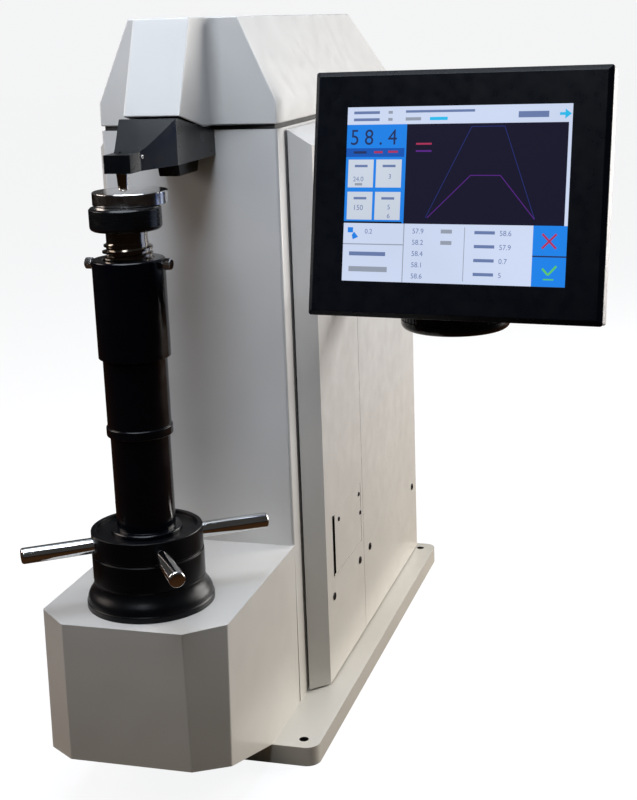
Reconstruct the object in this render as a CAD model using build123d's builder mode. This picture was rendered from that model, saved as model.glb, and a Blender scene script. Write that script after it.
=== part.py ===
"""Bench hardness tester: hollow cast frame, motor-driven loading lever, elevating screw with
telescopic guard tubes and a swivelling touch screen.

Frame: millimetres, +Z up, front towards -Y. The origin is the middle of the four base bolts,
on the underside of the base.
"""
from build123d import *
from math import cos, radians, sin
import os

os.makedirs("parts", exist_ok=True)

# ---- Base and frame casting
base_width = 256
base_length = 546
base_thickness = 19
base_corner_r = 13
bolt_edge_x = 17  # base bolts in from the base's sides, and from its ends
bolt_edge_y = 16
bolt_hole_r = 4.5
axis_y = -333  # the test axis: spindle, anvil and elevating screw
body_half = 85.5  # half the width of pedestal, column and hood
throat = 150  # test axis to the front of the column
column_depth = 444.5
column_top = 579.5
casting_wall = 12
top_plate = 14
pedestal_reach = 67.5  # test axis to the front of the pedestal
pedestal_top = 183
pedestal_lip = 57  # height of the underside at the front of the pedestal
nose_half = 54.7  # half the width of the pedestal's front face
cheek_back = 40.1  # test axis back to where the pedestal's cheeks meet its sides
nose_half_low = 56.7  # the same two, and the half width, at the foot of the draft
cheek_back_low = 47.5
body_half_low = 84.6
casting_round = 3

bolt_pitch_x = base_width - 2 * bolt_edge_x
bolt_pitch_y = base_length - 2 * bolt_edge_y
column_front = axis_y + throat
column_rear = column_front + column_depth
column_mid = (column_front + column_rear) / 2
pedestal_front = axis_y - pedestal_reach
base_front = -base_length / 2

# ---- Inside the castings
boss_half = 40  # radius of the boss round the guide bush
pedestal_roof = 20
window_low = 130
window_high = 497
front_window = (76, 110)  # from the column front
rear_window = (224, 404)
window_r = 14
drive_hole = 74
rib_x = 40
rib_width = 8
rib_depth = 10

# ---- Side covers
cover_proud = 20  # the covers stand this far out from the column
cover_skin = 1.5
cover_edge_gap = 2.5  # shadow gap between the cover's front edge and the column
cover_start = 22.4  # column front to the cover's front edge
cover_bevel = 17.5
cover_seam = 184  # column front to the seam between front and rear cover
seam_gap = 1
cover_foot_gap = 2
cover_top_fall = 18  # the covers' top edge falls this much towards the outside
cover_post_r = 7
cover_screw_r = 2
cover_screw_head_r = 3.6
cover_screw_low = 107
cover_screw_high = 520
front_screw_y = (62.5, 165)  # from the column front
rear_screw_y = (208, 420)
cover_face = body_half + cover_proud
cover_inner = cover_face - cover_skin

# ---- Access door in the right front cover
door_front = 64  # from the column front
door_length = 112
door_low = 126
door_height = 65.5
door_slot = 4
door_thickness = 1.5
door_lap = 5

# ---- Hood
hood_gap = 4.3
hood_side = 20.5  # height of the hood's upright sides
hood_height = 94.8
hood_top_half = 52.3
hood_rear_fall = 64.7  # the roof ends this far in front of the rear face
hood_skin = 2.5
nose_width = 52
nose_top_reach = 48.4  # how far the nose stands out from the column front, at the roof
nose_low_reach = 83.1  # and at its lower front edge
nose_low_rise = 13.7  # the nose's lower front edge stands this far above the hood's rim
nose_under = 23  # the nose's underside comes down to the rim this far out
nose_corner_r = 10
hood_low = column_top + hood_gap
hood_top = hood_low + hood_height

# ---- Spindle head under the nose
head_low = column_top - 22.5
head_top = head_low + 15
head_slope = ((20, 19), (34, 26), (58, 39))  # back from the test axis, up from head_low
head_tip = 10  # test axis to the front of the head
head_half = 11.6
head_block_back = 10
head_floor = 8.7
head_roof = 1.2
head_skin = 2.5
head_wall = 3
head_rear_gap = 1  # under the hood's nose
lamp_half = 10
lamp_r = 6
lamp_front = 98
lamp_drop = 14

# ---- Spindle and indenter
spindle_r = 6
holder_r = 5.2
holder_low_r = 4.2
shank_r = 2.9
spindle_low = head_low + 0.5
spindle_length = 8.4
indenter_drop = 16.2  # the head's underside to the tip of the indenter
cone_height = 2.6
diamond_r = 1.4
run_clearance = 0.05
touch_gap = 0.3
guide_r = 8
tip_z = head_low - indenter_drop

# ---- Elevating screw, nut and handwheel
screw_r = 21
screw_low = 140
thread_top = 500
journal_r = 17.2
journal_length = 10.3
journal_top = thread_top + journal_length
key_width = 8
key_depth = 3.5
key_low = 142
key_length = 36
bush_r = 27
bush_low = 112
race_r = 42
race_hole_r = 24
race_thickness = 4.5
ball_r = 3.5
ball_ring_r = 34
ball_count = 12
nut_r = 34
nut_flange = 8
nut_length = 46
skirt_bore_r = 43.5
skirt_top_r = 50
skirt_foot_r = 55.8
skirt_height = 23.8
hub_r = 48.4
hub_foot_gap = 0.7
hub_top = 251.6
hub_recess = 3.3
hub_recess_r = 44
hub_groove_z = 231
rod_r = 7
rod_z = 240.5
rod_root = 36
rod_reach = 109.2
rod_angle = 35.4
rod_count = 4

# ---- Guard tubes
tube_wall = 2.7
lower_tube_r = 25.5
lower_tube_top = 345
tube_foot_r = 31
tube_foot = 4
middle_tube_wall = 1.4
middle_tube_low = 335.5
middle_tube_length = 78
middle_ring_height = 8
middle_ring_r = 28.4
upper_tube_r = 30.5
upper_tube_top = thread_top - 13.4
upper_tube_length = 83.3
upper_tube_low = upper_tube_top - upper_tube_length
collar_height = 9.6
collar_clearance = 0.4
thumb_r = 3
thumb_head_r = 4.9
thumb_head_from = 32
thumb_head_length = 6.5
thumb_z = upper_tube_top - 4.6
knurl_count = 18

# ---- Anvil and test block
anvil_r = 30
anvil_height = 19.2
anvil_top = journal_top + anvil_height
anvil_bevel = 1.5
anvil_round = 4
stem_r = 10
stem_length = 30
block_r = 31.75
block_thickness = 11
block_x = -2
block_y = 17

# ---- Loading lever and drive
pivot_back = 205  # test axis to the lever's pivot
push_back = 430  # test axis to the ball screw
pivot_z = column_top + 32.5
pivot_shaft_r = 8
pivot_shaft_half = 40
bearing_r = 16
bearing_width = 12
bearing_x = 28
lever_half = 14
lever_hole_r = 9
finger_half = 5.5
finger_thick = 3
boss_r = 22
lever_low = column_top + 10.5
plate_drop = 181.5  # column top down to the drive plate, the screw's end and the ball nut
screw_end_drop = 33.5
ball_nut_drop = 79.5
plate_low = column_top - plate_drop
plate_thickness = 12
plate_front = 300  # test axis to the drive plate's front edge
plate_length = 175
pulley_height = 14
pulley_flange = 2.5
pulley_drop = 18
pulley_low = plate_low - pulley_drop
ball_screw_r = 8
ball_screw_low = pulley_low - 2
ball_screw_top = column_top - screw_end_drop
ball_nut_r = 14
ball_nut_low = column_top - ball_nut_drop
ball_nut_length = 40
nut_plate = 8
nut_plate_r = 22
cap_height = 16
cell_r = 25
cell_height = 20
stud_r = 6
guide_rod_r = 5
guide_rod_x = 42
motor_back = 345
motor_side = 86
motor_height = 98
motor_bolt_pitch = 69.6
motor_flange = 10
rotor_r = 34
rotor_length = 76
rotor_gap = 0.5
rotor_end_gap = 1
motor_shaft_r = 4
screw_bearing_r = 15
small_pulley_r = 12
large_pulley_r = 24
belt_thickness = 1.6
belt_width = 10

# ---- Rear panel and electrics
panel_thickness = 2
panel_low = 24
inlet_width = 28
inlet_height = 20
switch_width = 14
switch_height = 20
inlet_x = -45
switch_x = -5
port_x = 32
port_width = 32
port_height = 12
electrics_z = 70
electrics_depth = 22
vent_count = 8
vent_pitch = 12
vent_length = 90
vent_width = 4
vent_low = 300
fit_gap = 0.2
rocker_r = 7.9
rocker_tilt = 8
board_width = 104
board_height = 160
board_z = 280
supply_width = 112
supply_length = 160
supply_height = 42
supply_back = 115  # column rear to the supply's middle

# ---- Touch screen on its arm
arm_x = 236  # swivel axis
arm_y = 201  # swivel axis, from the test axis
arm_low = 395
arm_thickness = 6
arm_end_r = 24
arm_end_back = 20  # swivel axis to the middle of the arm's end
pad_r = 51
pad_depth = 9
pad_round = 6
flange_from = 262  # test axis to the flange's front edge
flange_length = 60
flange_height = 40
flange_thickness = 4
gusset_reach = 60
gusset_thickness = 6
arm_bolt_r = 2.5
arm_bolt_y = (275, 309)  # from the test axis
arm_bolt_rise = (12, 29)  # above arm_low
swivel_pin_r = 6
disc_gap = 0.4
disc_thickness = 7
fork_gap_half = 21
fork_cheek = 7
tilt_z = 456
tilt_back = -6  # tilt axis, from the swivel axis
tilt_pin_r = 5
yaw = -8.21
lean = 11.45
roll = 0.69
screen_width = 270.6
screen_height = 217.4
screen_ahead = 70.3  # tilt axis to the front face, square to the screen
screen_rise = 53.9  # tilt axis to the screen's middle, along the screen
screen_across = 20.7
bezel_depth = 5
bezel_bevel = 4.5  # width of the bevel round the bezel's front
bezel_bevel_depth = 3.5
bezel_corner_r = 2.5
glass_front = 1  # the bezel's face to the glass
rebate = 8
cheek_half = 12
view_width = 204.9
view_height = 153.6
glass_thickness = 1.5
lcd_depth = 7
shell_depth = 15
shell_wall = 2.5
bulge_depth = 20
bulge_width = 190
bulge_height = 96
bulge_rise = 30


def save(piece, label):
    """Label a finished piece and write it as its own STEP file."""
    piece.part.label = label
    export_step(piece.part, "parts/" + label + ".step")


def pedestal_plan(front_half, side_half, cheek, rear_y):
    """Corner points of the pedestal in plan, from its rear left to its rear right."""
    right = [(front_half, pedestal_front), (side_half, axis_y - cheek), (side_half, rear_y)]
    return [(-x, y) for x, y in reversed(right)] + right


# ================================================================ frame
# three castings, bolted together from inside and painted as one
cavity_half = body_half - casting_wall
cavity_top = column_top - top_plate
screw_posts = [
    (column_front + y, z)
    for y in front_screw_y + rear_screw_y
    for z in (cover_screw_low, cover_screw_high)
]
arm_bolts_at = [(axis_y + y, arm_low + rise) for y in arm_bolt_y for rise in arm_bolt_rise]

with BuildPart() as base_plate:
    with BuildSketch(Plane.XY):
        RectangleRounded(base_width, base_length, base_corner_r)
    extrude(amount=base_thickness)
    with Locations((0, 0, base_thickness)):
        with GridLocations(bolt_pitch_x, bolt_pitch_y, 2, 2):
            Hole(bolt_hole_r, depth=base_thickness)
save(base_plate, "base_plate")

with BuildPart() as pedestal:
    with BuildSketch(Plane.XY.offset(base_thickness)) as foot_plan:
        with BuildLine():
            Polyline(pedestal_plan(nose_half_low, body_half_low, cheek_back_low, column_front),
                     close=True)
        make_face()
        fillet(foot_plan.vertices().group_by(Axis.Y)[:2], casting_round)
    with BuildSketch(Plane.XY.offset(pedestal_top)) as top_plan:
        with BuildLine():
            Polyline(pedestal_plan(nose_half, body_half, cheek_back, column_front), close=True)
        make_face()
        fillet(top_plan.vertices().group_by(Axis.Y)[:2], casting_round)
    loft(ruled=True)
    # the underside rises from the base to the lip at the front
    with BuildSketch(Plane.YZ):
        with BuildLine():
            Polyline(
                (pedestal_front - 5, base_thickness),
                (pedestal_front - 5, pedestal_lip),
                (pedestal_front + 22, pedestal_lip - 3),
                (base_front, base_thickness),
                close=True,
            )
        make_face()
    extrude(amount=base_width, both=True, mode=Mode.SUBTRACT)
    # hollow, open below and towards the column
    with BuildSketch(Plane.XY):
        with BuildLine():
            Polyline(
                pedestal_plan(nose_half, body_half, cheek_back, column_front + casting_wall),
                close=True,
            )
        make_face()
        offset(amount=-casting_wall)
    extrude(amount=pedestal_top - pedestal_roof, mode=Mode.SUBTRACT)
    # boss and bore for the guide bush
    with BuildSketch(Plane.XY.offset(bush_low)):
        with Locations((0, axis_y)):
            Circle(boss_half)
    extrude(amount=pedestal_top - bush_low - 1)
    with Locations((0, axis_y, pedestal_top)):
        Hole(bush_r, depth=pedestal_top)
save(pedestal, "pedestal")

with BuildPart() as column:
    with BuildSketch(Plane.XY.offset(base_thickness)):
        with Locations((0, column_mid)):
            Rectangle(2 * body_half, column_depth)
    extrude(amount=pedestal_top - base_thickness)
    # the front corners are rounded above the pedestal only
    with BuildSketch(Plane.XY.offset(pedestal_top)) as column_plan:
        with Locations((0, column_mid)):
            Rectangle(2 * body_half, column_depth)
        fillet(column_plan.vertices().group_by(Axis.Y)[0], casting_round)
    extrude(amount=column_top - pedestal_top)
    # hollow, open below, at the rear and through windows in both sides
    with BuildSketch(Plane.XY.offset(base_thickness)):
        with Locations((0, column_mid + casting_wall)):
            Rectangle(2 * cavity_half, column_depth)
    extrude(amount=cavity_top - base_thickness, mode=Mode.SUBTRACT)
    for low_y, high_y in (front_window, rear_window):
        with BuildSketch(Plane.YZ):
            with Locations((column_front + (low_y + high_y) / 2, (window_low + window_high) / 2)):
                RectangleRounded(high_y - low_y, window_high - window_low, window_r)
        extrude(amount=body_half + 1, both=True, mode=Mode.SUBTRACT)
    # ribs down the inside of the front wall
    with BuildSketch(Plane.XY.offset(base_thickness)):
        with Locations((0, column_front + casting_wall + rib_depth / 2 - 1)):
            with GridLocations(2 * rib_x, 0, 2, 1):
                Rectangle(rib_width, rib_depth)
    extrude(amount=cavity_top - base_thickness)
    # opening for the drive, posts for the cover screws and the arm's bolts
    with BuildSketch(Plane.XY.offset(cavity_top - 1)):
        with Locations((0, axis_y + push_back)):
            RectangleRounded(drive_hole, drive_hole, 8)
    extrude(amount=top_plate + 2, mode=Mode.SUBTRACT)
    for side in (1, -1):
        with BuildSketch(Plane.YZ.offset(side * (body_half - 1))):
            with Locations(*screw_posts):
                Circle(cover_post_r)
                Circle(cover_screw_r, mode=Mode.SUBTRACT)
        extrude(amount=side * (cover_proud - cover_skin + 1))
    with BuildSketch(Plane.YZ.offset(body_half - 1)):
        with Locations(*arm_bolts_at):
            Circle(cover_post_r)
            Circle(arm_bolt_r, mode=Mode.SUBTRACT)
    extrude(amount=cover_proud - cover_skin + 1)
save(column, "column")


# ================================================================ side covers
def cover_shell(side, start_y, end_y, bevel, screws, door_centre=None):
    """One pan-shaped side cover: skin, folded edges and a top that falls to the outside."""
    near = body_half + cover_edge_gap
    outline = [(near, start_y), (cover_face, start_y + bevel), (cover_face, end_y), (near, end_y)]
    with BuildPart() as pan:
        with BuildSketch(Plane.XY.offset(base_thickness + cover_foot_gap)):
            with BuildLine():
                Polyline([(side * x, y) for x, y in outline], close=True)
            make_face()
        extrude(amount=column_top - base_thickness - cover_foot_gap)
        with BuildSketch(Plane.XZ.offset(-end_y - 5)):
            with BuildLine():
                Polyline(
                    (side * (body_half - 1), column_top + 1),
                    (side * (cover_face + 1), column_top + 1),
                    (side * (cover_face + 1), column_top - cover_top_fall - 1),
                    (side * body_half, column_top),
                    close=True,
                )
            make_face()
        extrude(amount=end_y - start_y + 10, mode=Mode.SUBTRACT)
        inner_face = pan.faces().filter_by(Axis.X).sort_by(Axis.X)[0 if side > 0 else -1]
        offset(amount=-cover_skin, openings=inner_face)
        with BuildSketch(Plane.YZ.offset(cover_inner * side)):
            with Locations(*screws):
                Circle(cover_screw_head_r)
            if door_centre:
                with Locations(door_centre):
                    Rectangle(door_length, door_height)
                with Locations(*arm_bolts_at):
                    Circle(arm_bolt_r)
        extrude(amount=cover_skin + 1, both=True, mode=Mode.SUBTRACT)
    return pan


def cover_screws_at(rows):
    """Centres of a cover's screws: two heights on each row, counted from the column front."""
    return [(column_front + y, z) for y in rows for z in (cover_screw_low, cover_screw_high)]


seam_y = column_front + cover_seam
cover_front_y = column_front + cover_start
door_y = column_front + door_front
door_centre = (door_y + door_length / 2, door_low + door_height / 2)
front_screws = cover_screws_at(front_screw_y)
rear_screws = cover_screws_at(rear_screw_y)

for side, word in ((1, "right"), (-1, "left")):
    place = door_centre if side > 0 else None
    save(cover_shell(side, cover_front_y, seam_y - seam_gap / 2, cover_bevel, front_screws, place),
         word + "_front_cover")
    save(cover_shell(side, seam_y + seam_gap / 2, column_rear, 0, rear_screws),
         word + "_rear_cover")

# the access door is a flanged plate behind the skin, with a finger slot at its front edge
with BuildPart() as access_door:
    with BuildSketch(Plane.YZ.offset(cover_inner - door_thickness - 0.1)):
        with Locations(door_centre):
            Rectangle(door_length + 2 * door_lap, door_height + 2 * door_lap)
    extrude(amount=door_thickness)
    with BuildSketch(Plane.YZ.offset(cover_inner - 0.1)):
        with Locations((door_centre[0] + door_slot / 2, door_centre[1])):
            Rectangle(door_length - door_slot - 0.8, door_height - 0.8)
    extrude(amount=cover_skin - 0.2)
    with BuildSketch(Plane.YZ.offset(cover_inner - door_thickness - 0.2)):
        with Locations((door_y + door_slot / 2, door_centre[1])):
            RectangleRounded(door_slot, door_height - 4, 1.5)
    extrude(amount=door_thickness + cover_skin + 1, mode=Mode.SUBTRACT)
    for screw_y, screw_z in ((24, 55), (104, 55), (108, 33)):
        with BuildSketch(Plane.YZ.offset(cover_inner)):
            with Locations((door_y + screw_y, door_low + screw_z)):
                Circle(1.6)
        extrude(amount=cover_skin + 1, mode=Mode.SUBTRACT)
save(access_door, "access_door")

# ================================================================ hood
nose_half_width = nose_width / 2
roof_rear = column_rear - hood_rear_fall


def hood_solid(inset):
    """The hood's outer form, or its hollow when inset by the thickness of the skin."""
    side_x = body_half - inset
    roof_x = hood_top_half - inset
    front_y = column_front + inset
    nose_x = nose_half_width - inset
    shoulder_z = hood_low + hood_side - inset / 2
    roof_z = hood_top - inset
    slope = (nose_low_reach - nose_top_reach) / (hood_height - nose_low_rise)
    low_z = hood_low - (1 if inset else 0)
    with BuildPart() as form:
        with BuildSketch(Plane.XY.offset(low_z)):
            with Locations((0, (front_y + column_rear - inset) / 2)):
                Rectangle(2 * side_x, column_rear - inset - front_y)
        extrude(amount=shoulder_z - low_z)
        with BuildSketch(Plane.XY.offset(shoulder_z)):
            with Locations((0, (front_y + column_rear - inset) / 2)):
                Rectangle(2 * side_x, column_rear - inset - front_y)
        with BuildSketch(Plane.XY.offset(roof_z)):
            with Locations((0, (front_y + roof_rear - inset) / 2)):
                Rectangle(2 * roof_x, roof_rear - inset - front_y)
        loft(ruled=True)
        with BuildSketch(Plane.YZ):
            with BuildLine():
                Polyline(
                    (column_front - nose_low_reach + inset * 1.1, low_z + nose_low_rise),
                    (column_front - nose_low_reach + inset * 1.1 + slope * (roof_z - low_z - nose_low_rise),
                     roof_z),
                    (column_front + 6, roof_z),
                    (column_front + 6, low_z),
                    (column_front - nose_under, low_z),
                    close=True,
                )
            make_face()
        extrude(amount=nose_x, both=True)
        inner_corners = [
            e for e in form.edges().filter_by(Axis.Z)
            if abs(abs(e.center().X) - nose_x) < 0.01 and abs(e.center().Y - front_y) < 0.01
        ]
        fillet(inner_corners, nose_corner_r + inset)
    return form.part


with BuildPart() as hood:
    add(hood_solid(0))
    add(hood_solid(hood_skin), mode=Mode.SUBTRACT)
save(hood, "hood")

with BuildPart() as hood_seal:
    with BuildSketch(Plane.XY.offset(column_top)):
        with Locations((0, column_mid)):
            Rectangle(2 * body_half - 6, column_depth - 6)
            Rectangle(2 * body_half - 20, column_depth - 20, mode=Mode.SUBTRACT)
    extrude(amount=hood_gap + 0.2)
save(hood_seal, "hood_seal")

# ================================================================ spindle head
def head_outline(wall, low, roof, skin):
    """Side view of the head above its floor, inset by a wall, a roof and a sloping skin."""
    front = axis_y - head_tip + wall
    slope = [(axis_y + back, head_low + rise - skin) for back, rise in head_slope]
    return [(front, low), (front, head_top - roof), (axis_y + head_block_back, head_top - roof)] + slope


head_rear = column_front
head_rear_top = hood_low - head_rear_gap
slope_end = axis_y + head_slope[-1][0]
slope_top = head_low + head_slope[-1][1]
under_nose = column_front - nose_under
hollow_back = axis_y + head_block_back + 8
hollow_top = head_top - head_roof
with BuildPart() as snout:
    # seen from the side
    with BuildSketch(Plane.YZ):
        with BuildLine():
            Polyline(
                *head_outline(0, head_low, 0, 0),
                (slope_end + 4, slope_top),
                (under_nose, head_rear_top),
                (head_rear, head_rear_top),
                (head_rear, head_low),
                close=True,
            )
        make_face()
    extrude(amount=nose_half_width, both=True)
    # seen from above
    with BuildSketch(Plane.XY.offset(head_low - 1)):
        with BuildLine():
            Polyline(
                (-head_half, axis_y - head_tip),
                (head_half, axis_y - head_tip),
                (head_half, axis_y + head_block_back + 2),
                (nose_half_width, slope_end),
                (nose_half_width, head_rear),
                (-nose_half_width, head_rear),
                (-nose_half_width, slope_end),
                (-head_half, axis_y + head_block_back + 2),
                close=True,
            )
        make_face()
    extrude(amount=60, mode=Mode.INTERSECT)
    # hollow, with an opening under the hood's nose for the lever
    with BuildSketch(Plane.YZ):
        with BuildLine():
            Polyline(
                *head_outline(head_wall, head_low + head_floor, head_roof, head_skin),
                (slope_end, slope_top + 5),
                (head_rear - 6, slope_top + 5),
                (head_rear - 6, head_low + head_wall),
                (hollow_back, head_low + head_wall),
                (hollow_back, head_low + head_floor),
                close=True,
            )
        make_face()
    extrude(amount=head_half - head_wall, both=True, mode=Mode.SUBTRACT)
    with BuildSketch(Plane.XY.offset(head_low + head_wall)):
        with BuildLine():
            Polyline(
                (head_half - head_wall, hollow_back),
                (nose_half_width - head_wall, slope_end + 2),
                (nose_half_width - head_wall, head_rear - 6),
                (-nose_half_width + head_wall, head_rear - 6),
                (-nose_half_width + head_wall, slope_end + 2),
                (-head_half + head_wall, hollow_back),
                close=True,
            )
        make_face()
    extrude(amount=hollow_top - head_low - head_wall, mode=Mode.SUBTRACT)
    with BuildSketch(Plane.XY.offset(hollow_top)):
        with Locations((0, (slope_end + 2 + head_rear - 6) / 2)):
            Rectangle(2 * (nose_half_width - head_wall), head_rear - slope_end - 8)
    extrude(amount=40, mode=Mode.SUBTRACT)
    with BuildSketch(Plane.XY.offset(head_low)):
        with Locations((0, axis_y)):
            Circle(guide_r)
    extrude(amount=head_floor + 1, mode=Mode.SUBTRACT)
save(snout, "snout")

lamp_low = head_low - lamp_drop
lamp_y = axis_y + lamp_front + 20
with BuildPart() as lamp_housing:
    with BuildSketch(Plane.YZ):
        with BuildLine():
            Polyline(
                (axis_y + lamp_front, head_low),
                (axis_y + lamp_front + 3, lamp_low),
                (column_front - 6, lamp_low),
                (column_front - 1, head_low),
                close=True,
            )
        make_face()
    extrude(amount=lamp_half, both=True)
    chamfer(lamp_housing.edges().filter_by(Axis.Y), 1)
    with BuildSketch(Plane.XY.offset(lamp_low)):
        with Locations((0, lamp_y)):
            Circle(lamp_r)
    extrude(amount=3, mode=Mode.SUBTRACT)
save(lamp_housing, "lamp_housing")

with BuildPart() as lamp_lens:
    with BuildSketch(Plane.XY.offset(lamp_low + 0.4)):
        with Locations((0, lamp_y)):
            Circle(lamp_r - run_clearance)
    extrude(amount=2.6)
save(lamp_lens, "lamp_lens")

# ================================================================ spindle and indenter
with BuildPart() as spindle_guide:
    with BuildSketch(Plane.XY.offset(head_low)):
        with Locations((0, axis_y)):
            Circle(guide_r)
            Circle(spindle_r + run_clearance, mode=Mode.SUBTRACT)
    extrude(amount=head_floor)
save(spindle_guide, "spindle_guide")

spindle_top = spindle_low + spindle_length
with BuildPart() as spindle:
    with BuildSketch(Plane.XY.offset(spindle_low)):
        with Locations((0, axis_y)):
            Circle(spindle_r)
    extrude(amount=spindle_length)
    with BuildSketch(Plane.XY.offset(spindle_low)):
        with Locations((0, axis_y)):
            Circle(shank_r + run_clearance)
    extrude(amount=spindle_length - 2, mode=Mode.SUBTRACT)
    fillet(spindle.edges().group_by(Axis.Z)[-1], 0.8)
save(spindle, "spindle")

cone_top = tip_z + cone_height
diamond_top = tip_z + cone_height * diamond_r / holder_low_r
with BuildPart() as indenter_holder:
    with BuildSketch(Plane.XZ.offset(-axis_y)):
        with BuildLine():
            Polyline(
                (0, diamond_top),
                (diamond_r, diamond_top),
                (holder_low_r, cone_top),
                (holder_r, spindle_low),
                (shank_r, spindle_low),
                (shank_r, spindle_top - 3),
                (0, spindle_top - 3),
                close=True,
            )
        make_face()
    revolve(axis=Axis((0, axis_y, 0), (0, 0, 1)))
save(indenter_holder, "indenter_holder")

with BuildPart() as diamond_cone:
    with BuildSketch(Plane.XZ.offset(-axis_y)):
        with BuildLine():
            Polyline(
                (0, tip_z),
                (0.2, tip_z),
                (diamond_r, diamond_top),
                (0, diamond_top),
                close=True,
            )
        make_face()
    revolve(axis=Axis((0, axis_y, 0), (0, 0, 1)))
save(diamond_cone, "diamond_cone")

# ================================================================ elevating screw and handwheel
with BuildPart() as elevating_screw:
    with BuildSketch(Plane.XY.offset(screw_low)):
        with Locations((0, axis_y)):
            Circle(screw_r)
    extrude(amount=thread_top - screw_low)
    chamfer(elevating_screw.edges().filter_by(GeomType.CIRCLE), 2)
    with BuildSketch(Plane.XY.offset(thread_top)):
        with Locations((0, axis_y)):
            Circle(journal_r)
    extrude(amount=journal_top - thread_top)
    with Locations((0, axis_y, journal_top)):
        Hole(stem_r + run_clearance, depth=stem_length + 1)
    with BuildSketch(Plane.XY.offset(screw_low)):
        with Locations((0, axis_y + screw_r)):
            Rectangle(key_width + 2 * run_clearance, 2 * key_depth)
    extrude(amount=thread_top - screw_low - 40, mode=Mode.SUBTRACT)
save(elevating_screw, "elevating_screw")

with BuildPart() as guide_bush:
    with BuildSketch(Plane.XY.offset(bush_low)):
        with Locations((0, axis_y)):
            Circle(bush_r)
            Circle(screw_r + run_clearance, mode=Mode.SUBTRACT)
        with Locations((0, axis_y + bush_r)):
            Rectangle(key_width, 2 * (bush_r - screw_r) + 4, mode=Mode.SUBTRACT)
    extrude(amount=pedestal_top - bush_low)
save(guide_bush, "guide_bush")

key_inner = screw_r - key_depth + 2 * run_clearance
with BuildPart() as screw_key:
    with BuildSketch(Plane.XY.offset(key_low)):
        with Locations((0, axis_y + (key_inner + bush_r - 0.6) / 2)):
            Rectangle(key_width, bush_r - 0.6 - key_inner)
    extrude(amount=key_length)
save(screw_key, "screw_key")

lower_race_top = pedestal_top + race_thickness
ball_z = lower_race_top + ball_r - 1.2
upper_race_low = ball_z + ball_r - 1.2


def race(low_z):
    """A flat bearing ring with a ball groove facing the balls."""
    with BuildPart() as ring:
        with BuildSketch(Plane.XY.offset(low_z)):
            with Locations((0, axis_y)):
                Circle(race_r)
                Circle(race_hole_r, mode=Mode.SUBTRACT)
        extrude(amount=race_thickness)
        with BuildSketch(Plane.XZ.offset(-axis_y)):
            with Locations((ball_ring_r, ball_z)):
                Circle(ball_r + run_clearance)
        revolve(axis=Axis((0, axis_y, 0), (0, 0, 1)), mode=Mode.SUBTRACT)
    return ring


save(race(pedestal_top), "lower_race")
save(race(upper_race_low), "upper_race")

with BuildPart() as thrust_balls:
    with Locations((0, axis_y, ball_z)):
        with PolarLocations(ball_ring_r, ball_count):
            Sphere(ball_r)
save(thrust_balls, "thrust_balls")

nut_low = upper_race_low + race_thickness
with BuildPart() as elevating_nut:
    with BuildSketch(Plane.XY.offset(nut_low)):
        with Locations((0, axis_y)):
            Circle(race_r)
    extrude(amount=nut_flange)
    with BuildSketch(Plane.XY.offset(nut_low)):
        with Locations((0, axis_y)):
            Circle(nut_r)
    extrude(amount=nut_length)
    with BuildSketch(Plane.XY.offset(nut_low)):
        with Locations((0, axis_y)):
            Circle(screw_r + run_clearance)
    extrude(amount=nut_length, mode=Mode.SUBTRACT)
save(elevating_nut, "elevating_nut")

skirt_top = pedestal_top + skirt_height
with BuildPart() as bearing_skirt:
    with BuildSketch(Plane.XZ.offset(-axis_y)):
        with BuildLine():
            Polyline(
                (skirt_bore_r, pedestal_top),
                (skirt_foot_r, pedestal_top),
                (skirt_foot_r, pedestal_top + 5),
                (skirt_foot_r - 0.8, pedestal_top + 5.8),
            )
            Line((skirt_foot_r - 0.8, pedestal_top + 5.8), (skirt_foot_r - 1.2, pedestal_top + 9))
            Spline(
                (skirt_foot_r - 1.2, pedestal_top + 9),
                (skirt_top_r + 1.4, pedestal_top + 15),
                (skirt_top_r - 1.4, skirt_top - 2),
            )
            Polyline(
                (skirt_top_r - 1.4, skirt_top - 2),
                (skirt_top_r - 1.4, skirt_top),
                (skirt_bore_r, skirt_top),
                (skirt_bore_r, pedestal_top),
            )
        make_face()
    revolve(axis=Axis((0, axis_y, 0), (0, 0, 1)))
save(bearing_skirt, "bearing_skirt")

hub_low = skirt_top + hub_foot_gap
nut_shoulder = nut_low + nut_flange
with BuildPart() as handwheel_hub:
    with BuildSketch(Plane.XZ.offset(-axis_y)):
        with BuildLine():
            Polyline(
                (nut_r + run_clearance, nut_shoulder),
                (race_r, nut_shoulder),
                (race_r, hub_low),
                (hub_r + 0.4, hub_low),
                (hub_r + 0.4, hub_groove_z - 1),
                (hub_r - 0.8, hub_groove_z),
                (hub_r, hub_groove_z + 1),
                (hub_r, hub_top - 1),
                (hub_r - 1, hub_top),
                (hub_recess_r, hub_top),
                (hub_recess_r, hub_top - hub_recess),
                (lower_tube_r - tube_wall, hub_top - hub_recess),
                (lower_tube_r - tube_wall, nut_low + nut_length),
                (nut_r + run_clearance, nut_low + nut_length),
                close=True,
            )
        make_face()
    revolve(axis=Axis((0, axis_y, 0), (0, 0, 1)))
    for i in range(rod_count):
        angle = radians(rod_angle + i * 360 / rod_count)
        out = Plane(origin=(0, axis_y, rod_z), z_dir=(cos(angle), sin(angle), 0))
        with BuildSketch(out.offset(rod_root)):
            Circle(rod_r + run_clearance)
        extrude(amount=hub_r, mode=Mode.SUBTRACT)
save(handwheel_hub, "handwheel_hub")

with BuildPart() as handwheel_rods:
    for i in range(rod_count):
        angle = radians(rod_angle + i * 360 / rod_count)
        out = Plane(origin=(0, axis_y, rod_z), z_dir=(cos(angle), sin(angle), 0))
        with BuildSketch(out.offset(rod_root)):
            Circle(rod_r)
        extrude(amount=rod_reach - rod_root - 0.8)
        with BuildSketch(out.offset(rod_reach - 0.8)):
            Circle(rod_r)
        extrude(amount=0.8, taper=45)
save(handwheel_rods, "handwheel_rods")

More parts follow.
